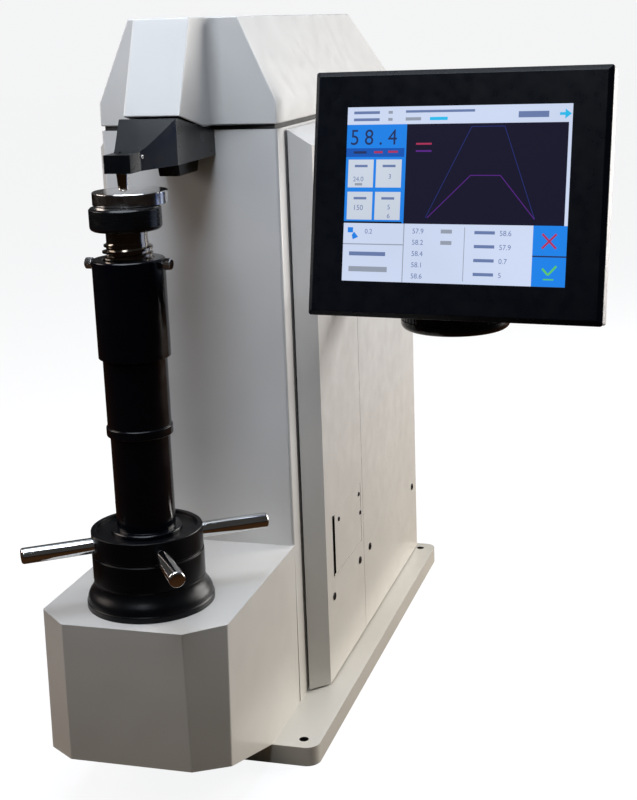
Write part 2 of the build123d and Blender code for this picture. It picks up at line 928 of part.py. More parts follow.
# ================================================================ guard tubes
tube_seat = hub_top - hub_recess
with BuildPart() as lower_guard_tube:
    with BuildSketch(Plane.XY.offset(tube_seat)):
        with Locations((0, axis_y)):
            Circle(tube_foot_r)
    extrude(amount=tube_foot)
    chamfer(lower_guard_tube.edges().group_by(Axis.Z)[-1], 1)
    with BuildSketch(Plane.XY.offset(tube_seat)):
        with Locations((0, axis_y)):
            Circle(lower_tube_r)
    extrude(amount=lower_tube_top - tube_seat)
    with BuildSketch(Plane.XY.offset(tube_seat)):
        with Locations((0, axis_y)):
            Circle(lower_tube_r - tube_wall)
    extrude(amount=lower_tube_top - tube_seat, mode=Mode.SUBTRACT)
save(lower_guard_tube, "lower_guard_tube")

middle_bore_r = lower_tube_r + touch_gap
with BuildPart() as middle_guard_tube:
    with BuildSketch(Plane.XY.offset(middle_tube_low)):
        with Locations((0, axis_y)):
            Circle(middle_ring_r)
    extrude(amount=middle_ring_height)
    fillet(middle_guard_tube.edges().filter_by(GeomType.CIRCLE), 0.8)
    with BuildSketch(Plane.XY.offset(middle_tube_low)):
        with Locations((0, axis_y)):
            Circle(middle_bore_r + middle_tube_wall)
    extrude(amount=middle_tube_length)
    with BuildSketch(Plane.XY.offset(middle_tube_low)):
        with Locations((0, axis_y)):
            Circle(middle_bore_r)
    extrude(amount=middle_tube_length, mode=Mode.SUBTRACT)
save(middle_guard_tube, "middle_guard_tube")

upper_bore_r = middle_ring_r + touch_gap
with BuildPart() as upper_guard_tube:
    with BuildSketch(Plane.XY.offset(upper_tube_low)):
        with Locations((0, axis_y)):
            Circle(upper_tube_r)
    extrude(amount=upper_tube_top - upper_tube_low)
    chamfer(upper_guard_tube.edges().group_by(Axis.Z)[-1], 1)
    with BuildSketch(Plane.XY.offset(upper_tube_low)):
        with Locations((0, axis_y)):
            Circle(upper_bore_r)
    extrude(amount=upper_tube_top - collar_height - upper_tube_low, mode=Mode.SUBTRACT)
    with BuildSketch(Plane.XY.offset(upper_tube_low)):
        with Locations((0, axis_y)):
            Circle(screw_r + collar_clearance)
    extrude(amount=upper_tube_top - upper_tube_low, mode=Mode.SUBTRACT)
    with BuildSketch(Plane.YZ):
        with Locations((axis_y, thumb_z)):
            Circle(thumb_r + run_clearance)
    extrude(amount=upper_tube_r + 1, both=True, mode=Mode.SUBTRACT)
save(upper_guard_tube, "upper_guard_tube")

for side, word in ((1, "right"), (-1, "left")):
    with BuildPart() as thumb_screw:
        with BuildSketch(Plane.YZ.offset(side * (screw_r + 0.15))):
            with Locations((axis_y, thumb_z)):
                Circle(thumb_r)
        extrude(amount=side * (thumb_head_from + 1 - screw_r))
        with BuildSketch(Plane.YZ.offset(side * thumb_head_from)):
            with Locations((axis_y, thumb_z)):
                Circle(thumb_head_r)
                with PolarLocations(thumb_head_r, knurl_count):
                    Rectangle(0.5, 0.5, rotation=45, mode=Mode.SUBTRACT)
        extrude(amount=side * thumb_head_length)
    save(thumb_screw, "thumb_screw_" + word)

# ================================================================ anvil and test block
with BuildPart() as anvil:
    with BuildSketch(Plane.XY.offset(journal_top)):
        with Locations((0, axis_y)):
            Circle(anvil_r)
    extrude(amount=anvil_top - journal_top)
    chamfer(anvil.edges().group_by(Axis.Z)[-1], anvil_bevel)
    fillet(anvil.edges().group_by(Axis.Z)[0], anvil_round)
    with BuildSketch(Plane.XY.offset(journal_top - stem_length)):
        with Locations((0, axis_y)):
            Circle(stem_r)
    extrude(amount=stem_length + 1)
save(anvil, "anvil")

with BuildPart() as test_block:
    with BuildSketch(Plane.XY.offset(anvil_top)):
        with Locations((block_x, axis_y + block_y)):
            Circle(block_r)
    extrude(amount=block_thickness)
    chamfer(test_block.edges().filter_by(GeomType.CIRCLE), 0.6)
save(test_block, "test_block")

# ================================================================ loading lever
pivot_y = axis_y + pivot_back
push_y = axis_y + push_back
finger_low = spindle_top + touch_gap
finger_top = finger_low + finger_thick
with BuildPart() as loading_lever:
    # thin finger inside the head, rising into the nose
    with BuildSketch(Plane.YZ):
        with BuildLine():
            Polyline(
                (axis_y - 4, finger_low),
                (axis_y - 4, finger_top),
                (axis_y + 16, finger_top),
                (axis_y + 57, finger_top + 17),
                (axis_y + 75, finger_top + 26),
                (axis_y + 110, finger_top + 50),
                (axis_y + 110, lever_low),
                (axis_y + 72, finger_low + 11),
                (axis_y + 34, finger_low),
                close=True,
            )
        make_face()
    extrude(amount=finger_half, both=True)
    # deep beam over the column
    with BuildSketch(Plane.YZ):
        with BuildLine():
            Polyline(
                (axis_y + 92, lever_low),
                (axis_y + 92, lever_low + 17),
                (axis_y + 122, lever_low + 34),
                (pivot_y, pivot_z + boss_r),
                (pivot_y + 80, pivot_z + boss_r - 4),
                (push_y + 20, lever_low + 20),
                (push_y + 20, lever_low),
                close=True,
            )
        make_face()
        with Locations((pivot_y + 90, lever_low + 22), (pivot_y + 140, lever_low + 20)):
            Circle(lever_hole_r, mode=Mode.SUBTRACT)
    extrude(amount=lever_half, both=True)
    with BuildSketch(Plane.YZ):
        with Locations((pivot_y, pivot_z)):
            Circle(pivot_shaft_r + run_clearance)
    extrude(amount=lever_half + 1, both=True, mode=Mode.SUBTRACT)
save(loading_lever, "loading_lever")

with BuildPart() as lever_shaft:
    with BuildSketch(Plane.YZ):
        with Locations((pivot_y, pivot_z)):
            Circle(pivot_shaft_r)
    extrude(amount=pivot_shaft_half, both=True)
    chamfer(lever_shaft.edges().filter_by(GeomType.CIRCLE), 1)
save(lever_shaft, "lever_shaft")

with BuildPart() as bearing_blocks:
    for side in (1, -1):
        with BuildSketch(Plane.YZ.offset(side * (bearing_x - bearing_width / 2))):
            with Locations((pivot_y, (column_top + pivot_z) / 2)):
                Rectangle(2 * boss_r, pivot_z - column_top)
            with Locations((pivot_y, column_top + 5)):
                Rectangle(2 * boss_r + 24, 10)
            with Locations((pivot_y, pivot_z)):
                Circle(boss_r)
                Circle(bearing_r + run_clearance, mode=Mode.SUBTRACT)
        extrude(amount=side * bearing_width)
save(bearing_blocks, "bearing_blocks")

with BuildPart() as ball_bearings:
    for side in (1, -1):
        with BuildSketch(Plane.YZ.offset(side * (bearing_x - bearing_width / 2))):
            with Locations((pivot_y, pivot_z)):
                Circle(bearing_r)
                Circle(pivot_shaft_r + run_clearance, mode=Mode.SUBTRACT)
        extrude(amount=side * bearing_width)
    with BuildSketch(Plane.XY.offset(plate_low)):
        with Locations((0, push_y)):
            Circle(screw_bearing_r)
            Circle(ball_screw_r + run_clearance, mode=Mode.SUBTRACT)
    extrude(amount=plate_thickness)
save(ball_bearings, "ball_bearings")

# ================================================================ ball screw drive
def pulley_steps(rim_r):
    """Low z, high z and radius of a flanged belt pulley's steps."""
    return [
        (pulley_low, pulley_top, rim_r),
        (pulley_low, pulley_low + 1, rim_r + pulley_flange),
        (pulley_top - 1, pulley_top, rim_r + pulley_flange),
    ]


plate_top = plate_low + plate_thickness
pulley_top = pulley_low + pulley_height
motor_y = axis_y + motor_back
with BuildPart() as drive_plate:
    with BuildSketch(Plane.XY.offset(plate_low)):
        with Locations((0, axis_y + plate_front + plate_length / 2)):
            Rectangle(2 * cavity_half, plate_length)
        with Locations((0, push_y)):
            Circle(screw_bearing_r + run_clearance, mode=Mode.SUBTRACT)
        with Locations((0, motor_y)):
            Circle(12, mode=Mode.SUBTRACT)
        with Locations((guide_rod_x, push_y)):
            Circle(guide_rod_r + run_clearance, mode=Mode.SUBTRACT)
    extrude(amount=plate_thickness)
save(drive_plate, "drive_plate")

with BuildPart() as guide_rod:
    with BuildSketch(Plane.XY.offset(plate_low)):
        with Locations((guide_rod_x, push_y)):
            Circle(guide_rod_r)
    extrude(amount=cavity_top - 0.3 - plate_low)
save(guide_rod, "guide_rod")

with BuildPart() as ball_screw:
    with BuildSketch(Plane.XY.offset(ball_screw_low)):
        with Locations((0, push_y)):
            Circle(ball_screw_r)
    extrude(amount=ball_screw_top - ball_screw_low)
    for low_z, high_z, wheel_r in pulley_steps(large_pulley_r):
        with BuildSketch(Plane.XY.offset(low_z)):
            with Locations((0, push_y)):
                Circle(wheel_r)
        extrude(amount=high_z - low_z)
    for low_z, high_z in ((pulley_top, plate_low - touch_gap), (plate_top + touch_gap, plate_top + 5)):
        with BuildSketch(Plane.XY.offset(low_z)):
            with Locations((0, push_y)):
                Circle(ball_screw_r + 3)
        extrude(amount=high_z - low_z)
save(ball_screw, "ball_screw")

with BuildPart() as ball_nut:
    with BuildSketch(Plane.XY.offset(ball_nut_low)):
        with Locations((0, push_y)):
            Circle(ball_nut_r)
    extrude(amount=ball_nut_length)
    with BuildSketch(Plane.XY.offset(ball_nut_low + ball_nut_length - nut_plate)):
        with Locations((0, push_y)):
            Circle(nut_plate_r)
        with Locations((guide_rod_x / 2 + 5, push_y)):
            Rectangle(guide_rod_x + 6, 2 * guide_rod_r + 8)
        with Locations((guide_rod_x, push_y)):
            Circle(guide_rod_r + run_clearance, mode=Mode.SUBTRACT)
    extrude(amount=nut_plate)
    with BuildSketch(Plane.XY.offset(ball_nut_low)):
        with Locations((0, push_y)):
            Circle(ball_screw_r + run_clearance)
    extrude(amount=ball_nut_length, mode=Mode.SUBTRACT)
save(ball_nut, "ball_nut")

cap_low = ball_nut_low + ball_nut_length
cell_low = cap_low + cap_height
with BuildPart() as load_cell:
    # cup over the screw's end, then the cell and its push stud
    with BuildSketch(Plane.XY.offset(cap_low)):
        with Locations((0, push_y)):
            Circle(nut_plate_r)
    extrude(amount=cap_height)
    with BuildSketch(Plane.XY.offset(cell_low)):
        with Locations((0, push_y)):
            Circle(cell_r)
    extrude(amount=cell_height)
    chamfer(load_cell.edges().group_by(Axis.Z)[-1], 2)
    with BuildSketch(Plane.XY.offset(cell_low)):
        with Locations((0, push_y)):
            Circle(stud_r)
    extrude(amount=lever_low - touch_gap - cell_low)
    fillet(load_cell.edges().group_by(Axis.Z)[-1], 2)
    with BuildSketch(Plane.XY.offset(cap_low)):
        with Locations((0, push_y)):
            Circle(ball_screw_r + 3)
    extrude(amount=cap_height - 5, mode=Mode.SUBTRACT)
save(load_cell, "load_cell")


with BuildPart() as timing_belt:
    for grow, mode in ((touch_gap + belt_thickness, Mode.ADD), (touch_gap, Mode.SUBTRACT)):
        with BuildSketch(Plane.XY.offset(pulley_low + (pulley_height - belt_width) / 2)):
            with Locations((0, motor_y)):
                Circle(small_pulley_r + grow)
            with Locations((0, push_y)):
                Circle(large_pulley_r + grow)
            make_hull()
        extrude(amount=belt_width, mode=mode)
save(timing_belt, "timing_belt")

with BuildPart() as motor:
    with BuildSketch(Plane.XY.offset(plate_top)):
        with Locations((0, motor_y)):
            RectangleRounded(motor_side, motor_side, 5)
            with GridLocations(motor_bolt_pitch, motor_bolt_pitch, 2, 2):
                Circle(2.5, mode=Mode.SUBTRACT)
    extrude(amount=motor_height)
    with BuildSketch(Plane.XY.offset(plate_top)):
        with Locations((0, motor_y)):
            Circle(motor_shaft_r + run_clearance)
    extrude(amount=motor_flange, mode=Mode.SUBTRACT)
    with BuildSketch(Plane.XY.offset(plate_top + motor_flange)):
        with Locations((0, motor_y)):
            Circle(rotor_r + rotor_gap)
    extrude(amount=rotor_length + 2 * rotor_end_gap, mode=Mode.SUBTRACT)
save(motor, "motor")

rotor_low = plate_top + motor_flange + rotor_end_gap
with BuildPart() as motor_shaft:
    # the motor's rotor core, its shaft and the small pulley
    with BuildSketch(Plane.XY.offset(rotor_low)):
        with Locations((0, motor_y)):
            Circle(rotor_r)
    extrude(amount=rotor_length)
    with BuildSketch(Plane.XY.offset(pulley_low)):
        with Locations((0, motor_y)):
            Circle(motor_shaft_r)
    extrude(amount=rotor_low - pulley_low)
    for low_z, high_z, wheel_r in pulley_steps(small_pulley_r):
        with BuildSketch(Plane.XY.offset(low_z)):
            with Locations((0, motor_y)):
                Circle(wheel_r)
        extrude(amount=high_z - low_z)
save(motor_shaft, "motor_shaft")

# ================================================================ electrics and rear panel
board_y = column_front + casting_wall + 9
with BuildPart() as control_board:
    with BuildSketch(Plane.XZ.offset(-board_y)):
        with Locations((0, board_z)):
            Rectangle(board_width, board_height)
    extrude(amount=-1.6)
    with BuildSketch(Plane.XZ.offset(-board_y - 1.6)):
        with Locations(
            (-20, board_z + 20), (18, board_z + 50), (22, board_z - 30), (-24, board_z - 45)
        ):
            Rectangle(26, 22)
    extrude(amount=-5)
save(control_board, "control_board")

with BuildPart() as power_supply:
    with BuildSketch(Plane.XY.offset(base_thickness)):
        with Locations((0, column_rear - supply_back)):
            Rectangle(supply_width, supply_length)
    extrude(amount=supply_height)
    with BuildSketch(Plane.XY.offset(base_thickness + supply_height)):
        with Locations((0, column_rear - supply_back)):
            with GridLocations(12, 0, 8, 1):
                Rectangle(3, supply_length - 50)
    extrude(amount=-1.5, mode=Mode.SUBTRACT)
save(power_supply, "power_supply")

with BuildPart() as rear_panel:
    with BuildSketch(Plane.XZ.offset(-column_rear)):
        with Locations((0, (panel_low + column_top - 1) / 2)):
            Rectangle(2 * body_half, column_top - 1 - panel_low)
        with Locations((inlet_x, electrics_z)):
            Rectangle(inlet_width, inlet_height, mode=Mode.SUBTRACT)
        with Locations((switch_x, electrics_z)):
            Rectangle(switch_width, switch_height, mode=Mode.SUBTRACT)
        with Locations((port_x, electrics_z)):
            Rectangle(port_width, port_height, mode=Mode.SUBTRACT)
        with Locations((0, vent_low + vent_pitch * (vent_count - 1) / 2)):
            with GridLocations(0, vent_pitch, 1, vent_count):
                SlotOverall(vent_length, vent_width, mode=Mode.SUBTRACT)
    extrude(amount=-panel_thickness)
save(rear_panel, "rear_panel")

panel_face = column_rear + panel_thickness
# socket screws for the side covers, the snout, the rear panel and the display arm
with BuildPart() as cover_screws:
    for side in (1, -1):
        with BuildSketch(Plane.YZ.offset(side * (cover_inner - 12))):
            with Locations(*front_screws, *rear_screws):
                Circle(cover_screw_r - run_clearance)
        extrude(amount=side * 12)
        with BuildSketch(Plane.YZ.offset(side * cover_inner)):
            with Locations(*front_screws, *rear_screws):
                Circle(cover_screw_head_r - 0.3)
                RegularPolygon(1.4, 6, mode=Mode.SUBTRACT)
        extrude(amount=side * 1.2)
        with BuildSketch(Plane.XZ.offset(-(head_rear - 6))):
            with Locations((side * 17, head_low + 7)):
                Circle(cover_screw_head_r - 0.3)
                RegularPolygon(1.4, 6, mode=Mode.SUBTRACT)
        extrude(amount=2.4)
        with BuildSketch(Plane.XZ.offset(-panel_face)):
            for z in (panel_low + 10, (panel_low + column_top) / 2, column_top - 11):
                with Locations((side * (body_half - 6), z)):
                    Circle(cover_screw_head_r - 0.3)
                    RegularPolygon(1.4, 6, mode=Mode.SUBTRACT)
        extrude(amount=-1.8)
    with BuildSketch(Plane.YZ.offset(cover_inner - 14)):
        with Locations(*arm_bolts_at):
            Circle(arm_bolt_r - run_clearance)
    extrude(amount=14 + cover_skin + flange_thickness)
    with BuildSketch(Plane.YZ.offset(cover_face + flange_thickness)):
        with Locations(*arm_bolts_at):
            Circle(4.2)
            RegularPolygon(2, 6, mode=Mode.SUBTRACT)
    extrude(amount=3)
save(cover_screws, "cover_screws")

rocker_y = panel_face - 3
with BuildPart() as rear_sockets:
    # mains inlet and switch housing, side by side on one flange
    with BuildSketch(Plane.XZ.offset(-(column_rear - electrics_depth))):
        with Locations((inlet_x, electrics_z)):
            Rectangle(inlet_width - fit_gap, inlet_height - fit_gap)
        with Locations((switch_x, electrics_z)):
            Rectangle(switch_width - fit_gap, switch_height - fit_gap)
    extrude(amount=-(electrics_depth + panel_thickness))
    with BuildSketch(Plane.XZ.offset(-panel_face)):
        with Locations(((inlet_x + switch_x) / 2, electrics_z)):
            RectangleRounded(switch_x - inlet_x + 28, inlet_height + 6, 2)
    extrude(amount=-2)
    with BuildSketch(Plane.XZ.offset(-(panel_face + 2))):
        with Locations((inlet_x, electrics_z)):
            Rectangle(inlet_width - 5, inlet_height - 5)
            with Locations((0, 1.5), (-6, -2), (6, -2)):
                Rectangle(1.6, 4, mode=Mode.SUBTRACT)
        with Locations((switch_x, electrics_z)):
            Rectangle(switch_width - 3, 2 * rocker_r + 0.6)
    extrude(amount=16, mode=Mode.SUBTRACT)
    # data port
    with BuildSketch(Plane.XZ.offset(-(column_rear - 10))):
        with Locations((port_x, electrics_z)):
            Rectangle(port_width - fit_gap, port_height - fit_gap)
    extrude(amount=-(10 + panel_thickness + 4))
    with BuildSketch(Plane.XZ.offset(-(panel_face + 4))):
        with Locations((port_x, electrics_z)):
            Rectangle(port_width - 4, port_height - 4)
    extrude(amount=6, mode=Mode.SUBTRACT)
save(rear_sockets, "rear_sockets")

with BuildPart() as power_switch:
    rocker_side = Plane(origin=(switch_x, rocker_y, electrics_z), x_dir=(0, 1, 0), z_dir=(1, 0, 0))
    with BuildSketch(Plane(rocker_side.location * Rotation(0, 0, rocker_tilt))):
        with BuildLine():
            Polyline(
                (-5, -rocker_r), (6.5, -rocker_r), (3.4, 0), (6.5, rocker_r), (-5, rocker_r), close=True)
        make_face()
        Circle(rocker_r, mode=Mode.INTERSECT)
    extrude(amount=(switch_width - 4) / 2, both=True)
save(power_switch, "power_switch")

# ================================================================ display arm and swivel
swivel_y = axis_y + arm_y
arm_top = arm_low + arm_thickness
flange_y = axis_y + flange_from + flange_length / 2
with BuildPart() as display_arm:
    # round pad with a rounded rim, carried by a plate from the flange
    with BuildSketch(Plane.XY.offset(arm_top - pad_depth)):
        with Locations((arm_x, swivel_y)):
            Circle(pad_r)
    extrude(amount=pad_depth)
    fillet(display_arm.edges().group_by(Axis.Z)[0], pad_round)
    with BuildSketch(Plane.XY.offset(arm_low)):
        with Locations((arm_x, swivel_y + arm_end_back)):
            Circle(arm_end_r)
        with Locations((cover_face + 2, flange_y)):
            Rectangle(4, flange_length)
        make_hull()
    extrude(amount=arm_thickness)
    with BuildSketch(Plane.XY.offset(arm_top - pad_depth)):
        with Locations((arm_x, swivel_y)):
            Circle(swivel_pin_r + run_clearance)
    extrude(amount=pad_depth, mode=Mode.SUBTRACT)
    # flange and gusset
    with BuildSketch(Plane.YZ.offset(cover_face)):
        with Locations((flange_y, arm_low + flange_height / 2)):
            Rectangle(flange_length, flange_height)
        with Locations(*arm_bolts_at):
            Circle(arm_bolt_r + run_clearance, mode=Mode.SUBTRACT)
    extrude(amount=flange_thickness)
    with BuildSketch(Plane.XZ.offset(-flange_y - gusset_thickness / 2)):
        with BuildLine():
            Polyline(
                (cover_face + 1, arm_top - 1),
                (cover_face + 1, arm_low + flange_height - 2),
                (cover_face + gusset_reach, arm_top - 1),
                close=True,
            )
        make_face()
    extrude(amount=gusset_thickness)
save(display_arm, "display_arm")

disc_low = arm_top + disc_gap
disc_top = disc_low + disc_thickness
notch_count = 60
head_dir = Vector(cos(radians(yaw)), sin(radians(yaw)), 0)
tilt_y = swivel_y + tilt_back
tilt_side = Plane(origin=(arm_x, tilt_y, tilt_z), x_dir=(-head_dir.Y, head_dir.X, 0), z_dir=head_dir)
with BuildPart() as swivel_head:
    with BuildSketch(Plane.XY.offset(disc_low)):
        with Locations((arm_x, swivel_y)):
            Circle(pad_r - 0.6)
            with PolarLocations(pad_r - 0.6, notch_count):
                Rectangle(1, 1.4, mode=Mode.SUBTRACT)
    extrude(amount=disc_thickness)
    with BuildSketch(Plane.XY.offset(arm_low + 1)):
        with Locations((arm_x, swivel_y)):
            Circle(swivel_pin_r)
    extrude(amount=disc_low - arm_low)
    with BuildSketch(Plane(origin=(arm_x, tilt_y, disc_top), x_dir=head_dir, z_dir=(0, 0, 1))):
        Rectangle(2 * (fork_gap_half + fork_cheek), 2 * cheek_half + 12)
    extrude(amount=5)
    for side in (1, -1):
        with BuildSketch(tilt_side.offset(side * fork_gap_half)):
            with Locations((0, (disc_top - tilt_z) / 2)):
                Rectangle(2 * cheek_half, tilt_z - disc_top)
            Circle(cheek_half)
            Circle(tilt_pin_r + run_clearance, mode=Mode.SUBTRACT)
        extrude(amount=side * fork_cheek)
save(swivel_head, "swivel_head")

with BuildPart() as tilt_pin:
    with BuildSketch(tilt_side):
        Circle(tilt_pin_r)
    extrude(amount=fork_gap_half + fork_cheek + 2, both=True)
save(tilt_pin, "tilt_pin")

# ================================================================ touch screen
front_dir = Vector(
    sin(radians(yaw)) * cos(radians(lean)),
    -cos(radians(yaw)) * cos(radians(lean)),
    sin(radians(lean)),
)
tilt_frame = Plane(origin=(arm_x, tilt_y, tilt_z), x_dir=head_dir, z_dir=front_dir)
screen_place = Location((screen_across, screen_rise, screen_ahead), (0, 0, roll))
screen = Plane(tilt_frame.location * screen_place)
with BuildPart() as display_bezel:
    with BuildSketch(screen.offset(-bezel_depth)):
        RectangleRounded(screen_width, screen_height, bezel_corner_r)
    extrude(amount=bezel_depth - bezel_bevel_depth)
    with BuildSketch(screen.offset(-bezel_bevel_depth)):
        RectangleRounded(screen_width, screen_height, bezel_corner_r)
    with BuildSketch(screen):
        RectangleRounded(screen_width - 2 * bezel_bevel, screen_height - 2 * bezel_bevel, 0.5)
    loft(ruled=True)
    with BuildSketch(screen.offset(-bezel_depth)):
        Rectangle(view_width, view_height)
    extrude(amount=bezel_depth + 1, mode=Mode.SUBTRACT)
    with BuildSketch(screen.offset(-bezel_depth)):
        Rectangle(view_width + rebate, view_height + rebate)
    extrude(amount=bezel_depth - glass_front, mode=Mode.SUBTRACT)
save(display_bezel, "display_bezel")

glass_back = glass_front + glass_thickness
with BuildPart() as touch_glass:
    with BuildSketch(screen.offset(-glass_back)):
        Rectangle(view_width + rebate - 0.6, view_height + rebate - 0.6)
    extrude(amount=glass_thickness)
save(touch_glass, "touch_glass")

with BuildPart() as lcd_panel:
    with BuildSketch(screen.offset(-glass_back - lcd_depth)):
        Rectangle(view_width + rebate - 0.6, view_height + rebate - 0.6)
    extrude(amount=lcd_depth)
save(lcd_panel, "lcd_panel")

shell_back = bezel_depth + shell_depth
with BuildPart() as display_shell:
    with BuildSketch(screen.offset(-shell_back)):
        RectangleRounded(screen_width - 2, screen_height - 2, 2)
    extrude(amount=shell_depth)
    with BuildSketch(screen.offset(-shell_back)):
        with Locations((0, bulge_rise)):
            RectangleRounded(bulge_width, bulge_height, 6)
    extrude(amount=-bulge_depth, taper=20)
    with BuildSketch(screen.offset(-bezel_depth)):
        Rectangle(screen_width - 2 - 2 * shell_wall, screen_height - 2 - 2 * shell_wall)
    extrude(amount=-(shell_depth - shell_wall), mode=Mode.SUBTRACT)
    with BuildSketch(screen.offset(-shell_back)):
        with Locations((0, bulge_rise)):
            RectangleRounded(bulge_width - 20, bulge_height - 20, 6)
    extrude(amount=-(bulge_depth - shell_wall), taper=20, mode=Mode.SUBTRACT)
    with BuildSketch(screen.offset(-shell_back)):
        with Locations((0, bulge_rise)):
            Rectangle(bulge_width - 20, bulge_height - 20)
    extrude(amount=shell_wall, mode=Mode.SUBTRACT)
save(display_shell, "display_shell")

lug_half = fork_gap_half - touch_gap
pad_height = 60
pad_thickness = 4
pad_ahead = screen_ahead - shell_back
with BuildPart() as tilt_bracket:
    with BuildSketch(tilt_side):
        Circle(cheek_half)
        Circle(tilt_pin_r + run_clearance, mode=Mode.SUBTRACT)
    extrude(amount=lug_half, both=True)
    with BuildSketch(tilt_frame.offset(pad_ahead - pad_thickness)):
        with Locations((0, -4)):
            Rectangle(2 * fork_gap_half + 28, pad_height)
    extrude(amount=pad_thickness)
    with BuildSketch(tilt_frame.offset(cheek_half - 2)):
        Rectangle(2 * lug_half, 16)
    extrude(amount=pad_ahead - pad_thickness - cheek_half + 3)
save(tilt_bracket, "tilt_bracket")
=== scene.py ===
from math import cos, pi, radians, sin, tau

import bmesh
import bpy
from mathutils import Matrix, Vector


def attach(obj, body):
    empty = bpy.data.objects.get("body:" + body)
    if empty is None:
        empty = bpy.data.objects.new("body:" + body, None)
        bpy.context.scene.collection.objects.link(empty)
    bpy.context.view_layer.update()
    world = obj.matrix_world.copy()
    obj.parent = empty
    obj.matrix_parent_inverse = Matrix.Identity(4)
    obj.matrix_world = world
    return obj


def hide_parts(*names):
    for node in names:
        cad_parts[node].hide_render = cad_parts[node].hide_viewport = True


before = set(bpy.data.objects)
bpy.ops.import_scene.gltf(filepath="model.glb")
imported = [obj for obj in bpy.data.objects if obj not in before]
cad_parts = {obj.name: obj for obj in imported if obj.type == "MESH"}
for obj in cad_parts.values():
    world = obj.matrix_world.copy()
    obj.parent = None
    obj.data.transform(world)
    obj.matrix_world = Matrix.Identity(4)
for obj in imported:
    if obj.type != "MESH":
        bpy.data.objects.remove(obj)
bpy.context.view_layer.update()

# ---------------------------------------------------------------- studio
# The machine stands on a pale bench top in a pale room. Two big soft lamps hang over its front and
# rear, a warmer pair stands to its right and left, and a small gridded key faces the column.
scene = bpy.context.scene
scene.view_settings.view_transform = "Standard"
eye = Vector((0.49014, -1.42873, 0.67265))
ahead = Vector((-0.262364, 0.931888, -0.250499)).normalized()
across = Vector((0.964258, 0.263145, -0.030999)).normalized()
lens = bpy.data.cameras.new("Studio camera")
lens.sensor_fit = "AUTO"
lens.sensor_width = 36
lens.lens = 64.85
lens.shift_x = -0.0310
lens.shift_y = -0.0093
camera = bpy.data.objects.new("Studio camera", lens)
camera.matrix_world = Matrix.Translation(eye) @ Matrix(
    (across, across.cross(ahead), -ahead)).transposed().to_4x4()
scene.collection.objects.link(camera)
scene.camera = camera


def softbox(name, place, aim, width, height, power, tint, spread=180):
    """A rectangular soft lamp at place, turned towards aim; a grid may narrow its spread."""
    light = bpy.data.lights.new(name, "AREA")
    light.shape = "RECTANGLE"
    light.size = width
    light.size_y = height
    light.energy = power
    light.color = tint
    light.spread = radians(spread)
    lamp = bpy.data.objects.new(name, light)
    turned_to = (Vector(aim) - Vector(place)).to_track_quat("-Z", "Y").to_matrix().to_4x4()
    lamp.matrix_world = Matrix.Translation(place) @ turned_to
    scene.collection.objects.link(lamp)


softbox("Front overhead lamp", (-0.05, -0.55, 1.95), (0, -0.15, 0.4), 1.2, 1.0, 26,
        (0.82, 0.90, 1.0))
softbox("Rear overhead lamp", (-0.15, 0.5, 2.0), (0, 0, 0.4), 1.6, 1.1, 3, (0.80, 0.90, 1.0))
softbox("Right lamp", (1.3, 1.0, 0.75), (0, 0, 0.3), 1.1, 1.3, 42, (1.0, 0.97, 0.93))
softbox("Front key lamp", (0.05, -1.4, 1.5), (0.05, -0.18, 0.62), 0.5, 0.5, 0.7,
        (0.85, 0.92, 1.0), 40)
softbox("Left lamp", (-1.5, -0.5, 1.1), (0, -0.3, 0.15), 1.0, 0.9, 14, (1.0, 0.88, 0.80))


def joined(tree, *pairs):
    """Link pairs of sockets in a tree."""
    for source, target in pairs:
        tree.links.new(source, target)


room = bpy.data.worlds.new("Pale room")
room.use_nodes = True
scene.world = room
room_tree = room.node_tree
backdrop_light = room_tree.nodes["Background"]
backdrop_light.inputs["Color"].default_value = (0.905, 0.91, 0.915, 1)
backdrop_light.inputs["Strength"].default_value = 1.0
dim_light = room_tree.nodes.new("ShaderNodeBackground")
dim_light.inputs["Color"].default_value = (0.95, 0.92, 0.9, 1)
dim_light.inputs["Strength"].default_value = 0.05
seen = room_tree.nodes.new("ShaderNodeLightPath")
choice = room_tree.nodes.new("ShaderNodeMixShader")
joined(
    room_tree,
    (seen.outputs["Is Camera Ray"], choice.inputs[0]),
    (dim_light.outputs[0], choice.inputs[1]),
    (backdrop_light.outputs[0], choice.inputs[2]),
    (choice.outputs[0], room_tree.nodes["World Output"].inputs["Surface"]),
)


def kept(mesh, name):
    """A worked mesh turned into a piece of the scene."""
    data = bpy.data.meshes.new(name)
    mesh.to_mesh(data)
    mesh.free()
    piece = bpy.data.objects.new(name, data)
    scene.collection.objects.link(piece)
    return piece


bench = bmesh.new()
bmesh.ops.create_circle(bench, cap_ends=True, segments=96, radius=14)
bench_top = kept(bench, "Bench top")
laminate = bpy.data.materials.new("Pale laminate")
laminate.use_nodes = True
laminate_tree = laminate.node_tree
laminate_tree.nodes.remove(laminate_tree.nodes["Principled BSDF"])
bounce = laminate_tree.nodes.new("ShaderNodeBsdfDiffuse")
bounce.inputs["Color"].default_value = (0.12, 0.085, 0.045, 1)
mirrored = laminate_tree.nodes.new("ShaderNodeBsdfDiffuse")
mirrored.inputs["Color"].default_value = (0.045, 0.02, 0.008, 1)
reflected = laminate_tree.nodes.new("ShaderNodeMixShader")
surface = laminate_tree.nodes.new("ShaderNodeBsdfDiffuse")
surface.inputs["Color"].default_value = (0.14, 0.14, 0.145, 1)
glow = laminate_tree.nodes.new("ShaderNodeEmission")
glow.inputs["Color"].default_value = (0.895, 0.9, 0.905, 1)
both = laminate_tree.nodes.new("ShaderNodeAddShader")
shown = laminate_tree.nodes.new("ShaderNodeMixShader")
ray = laminate_tree.nodes.new("ShaderNodeLightPath")
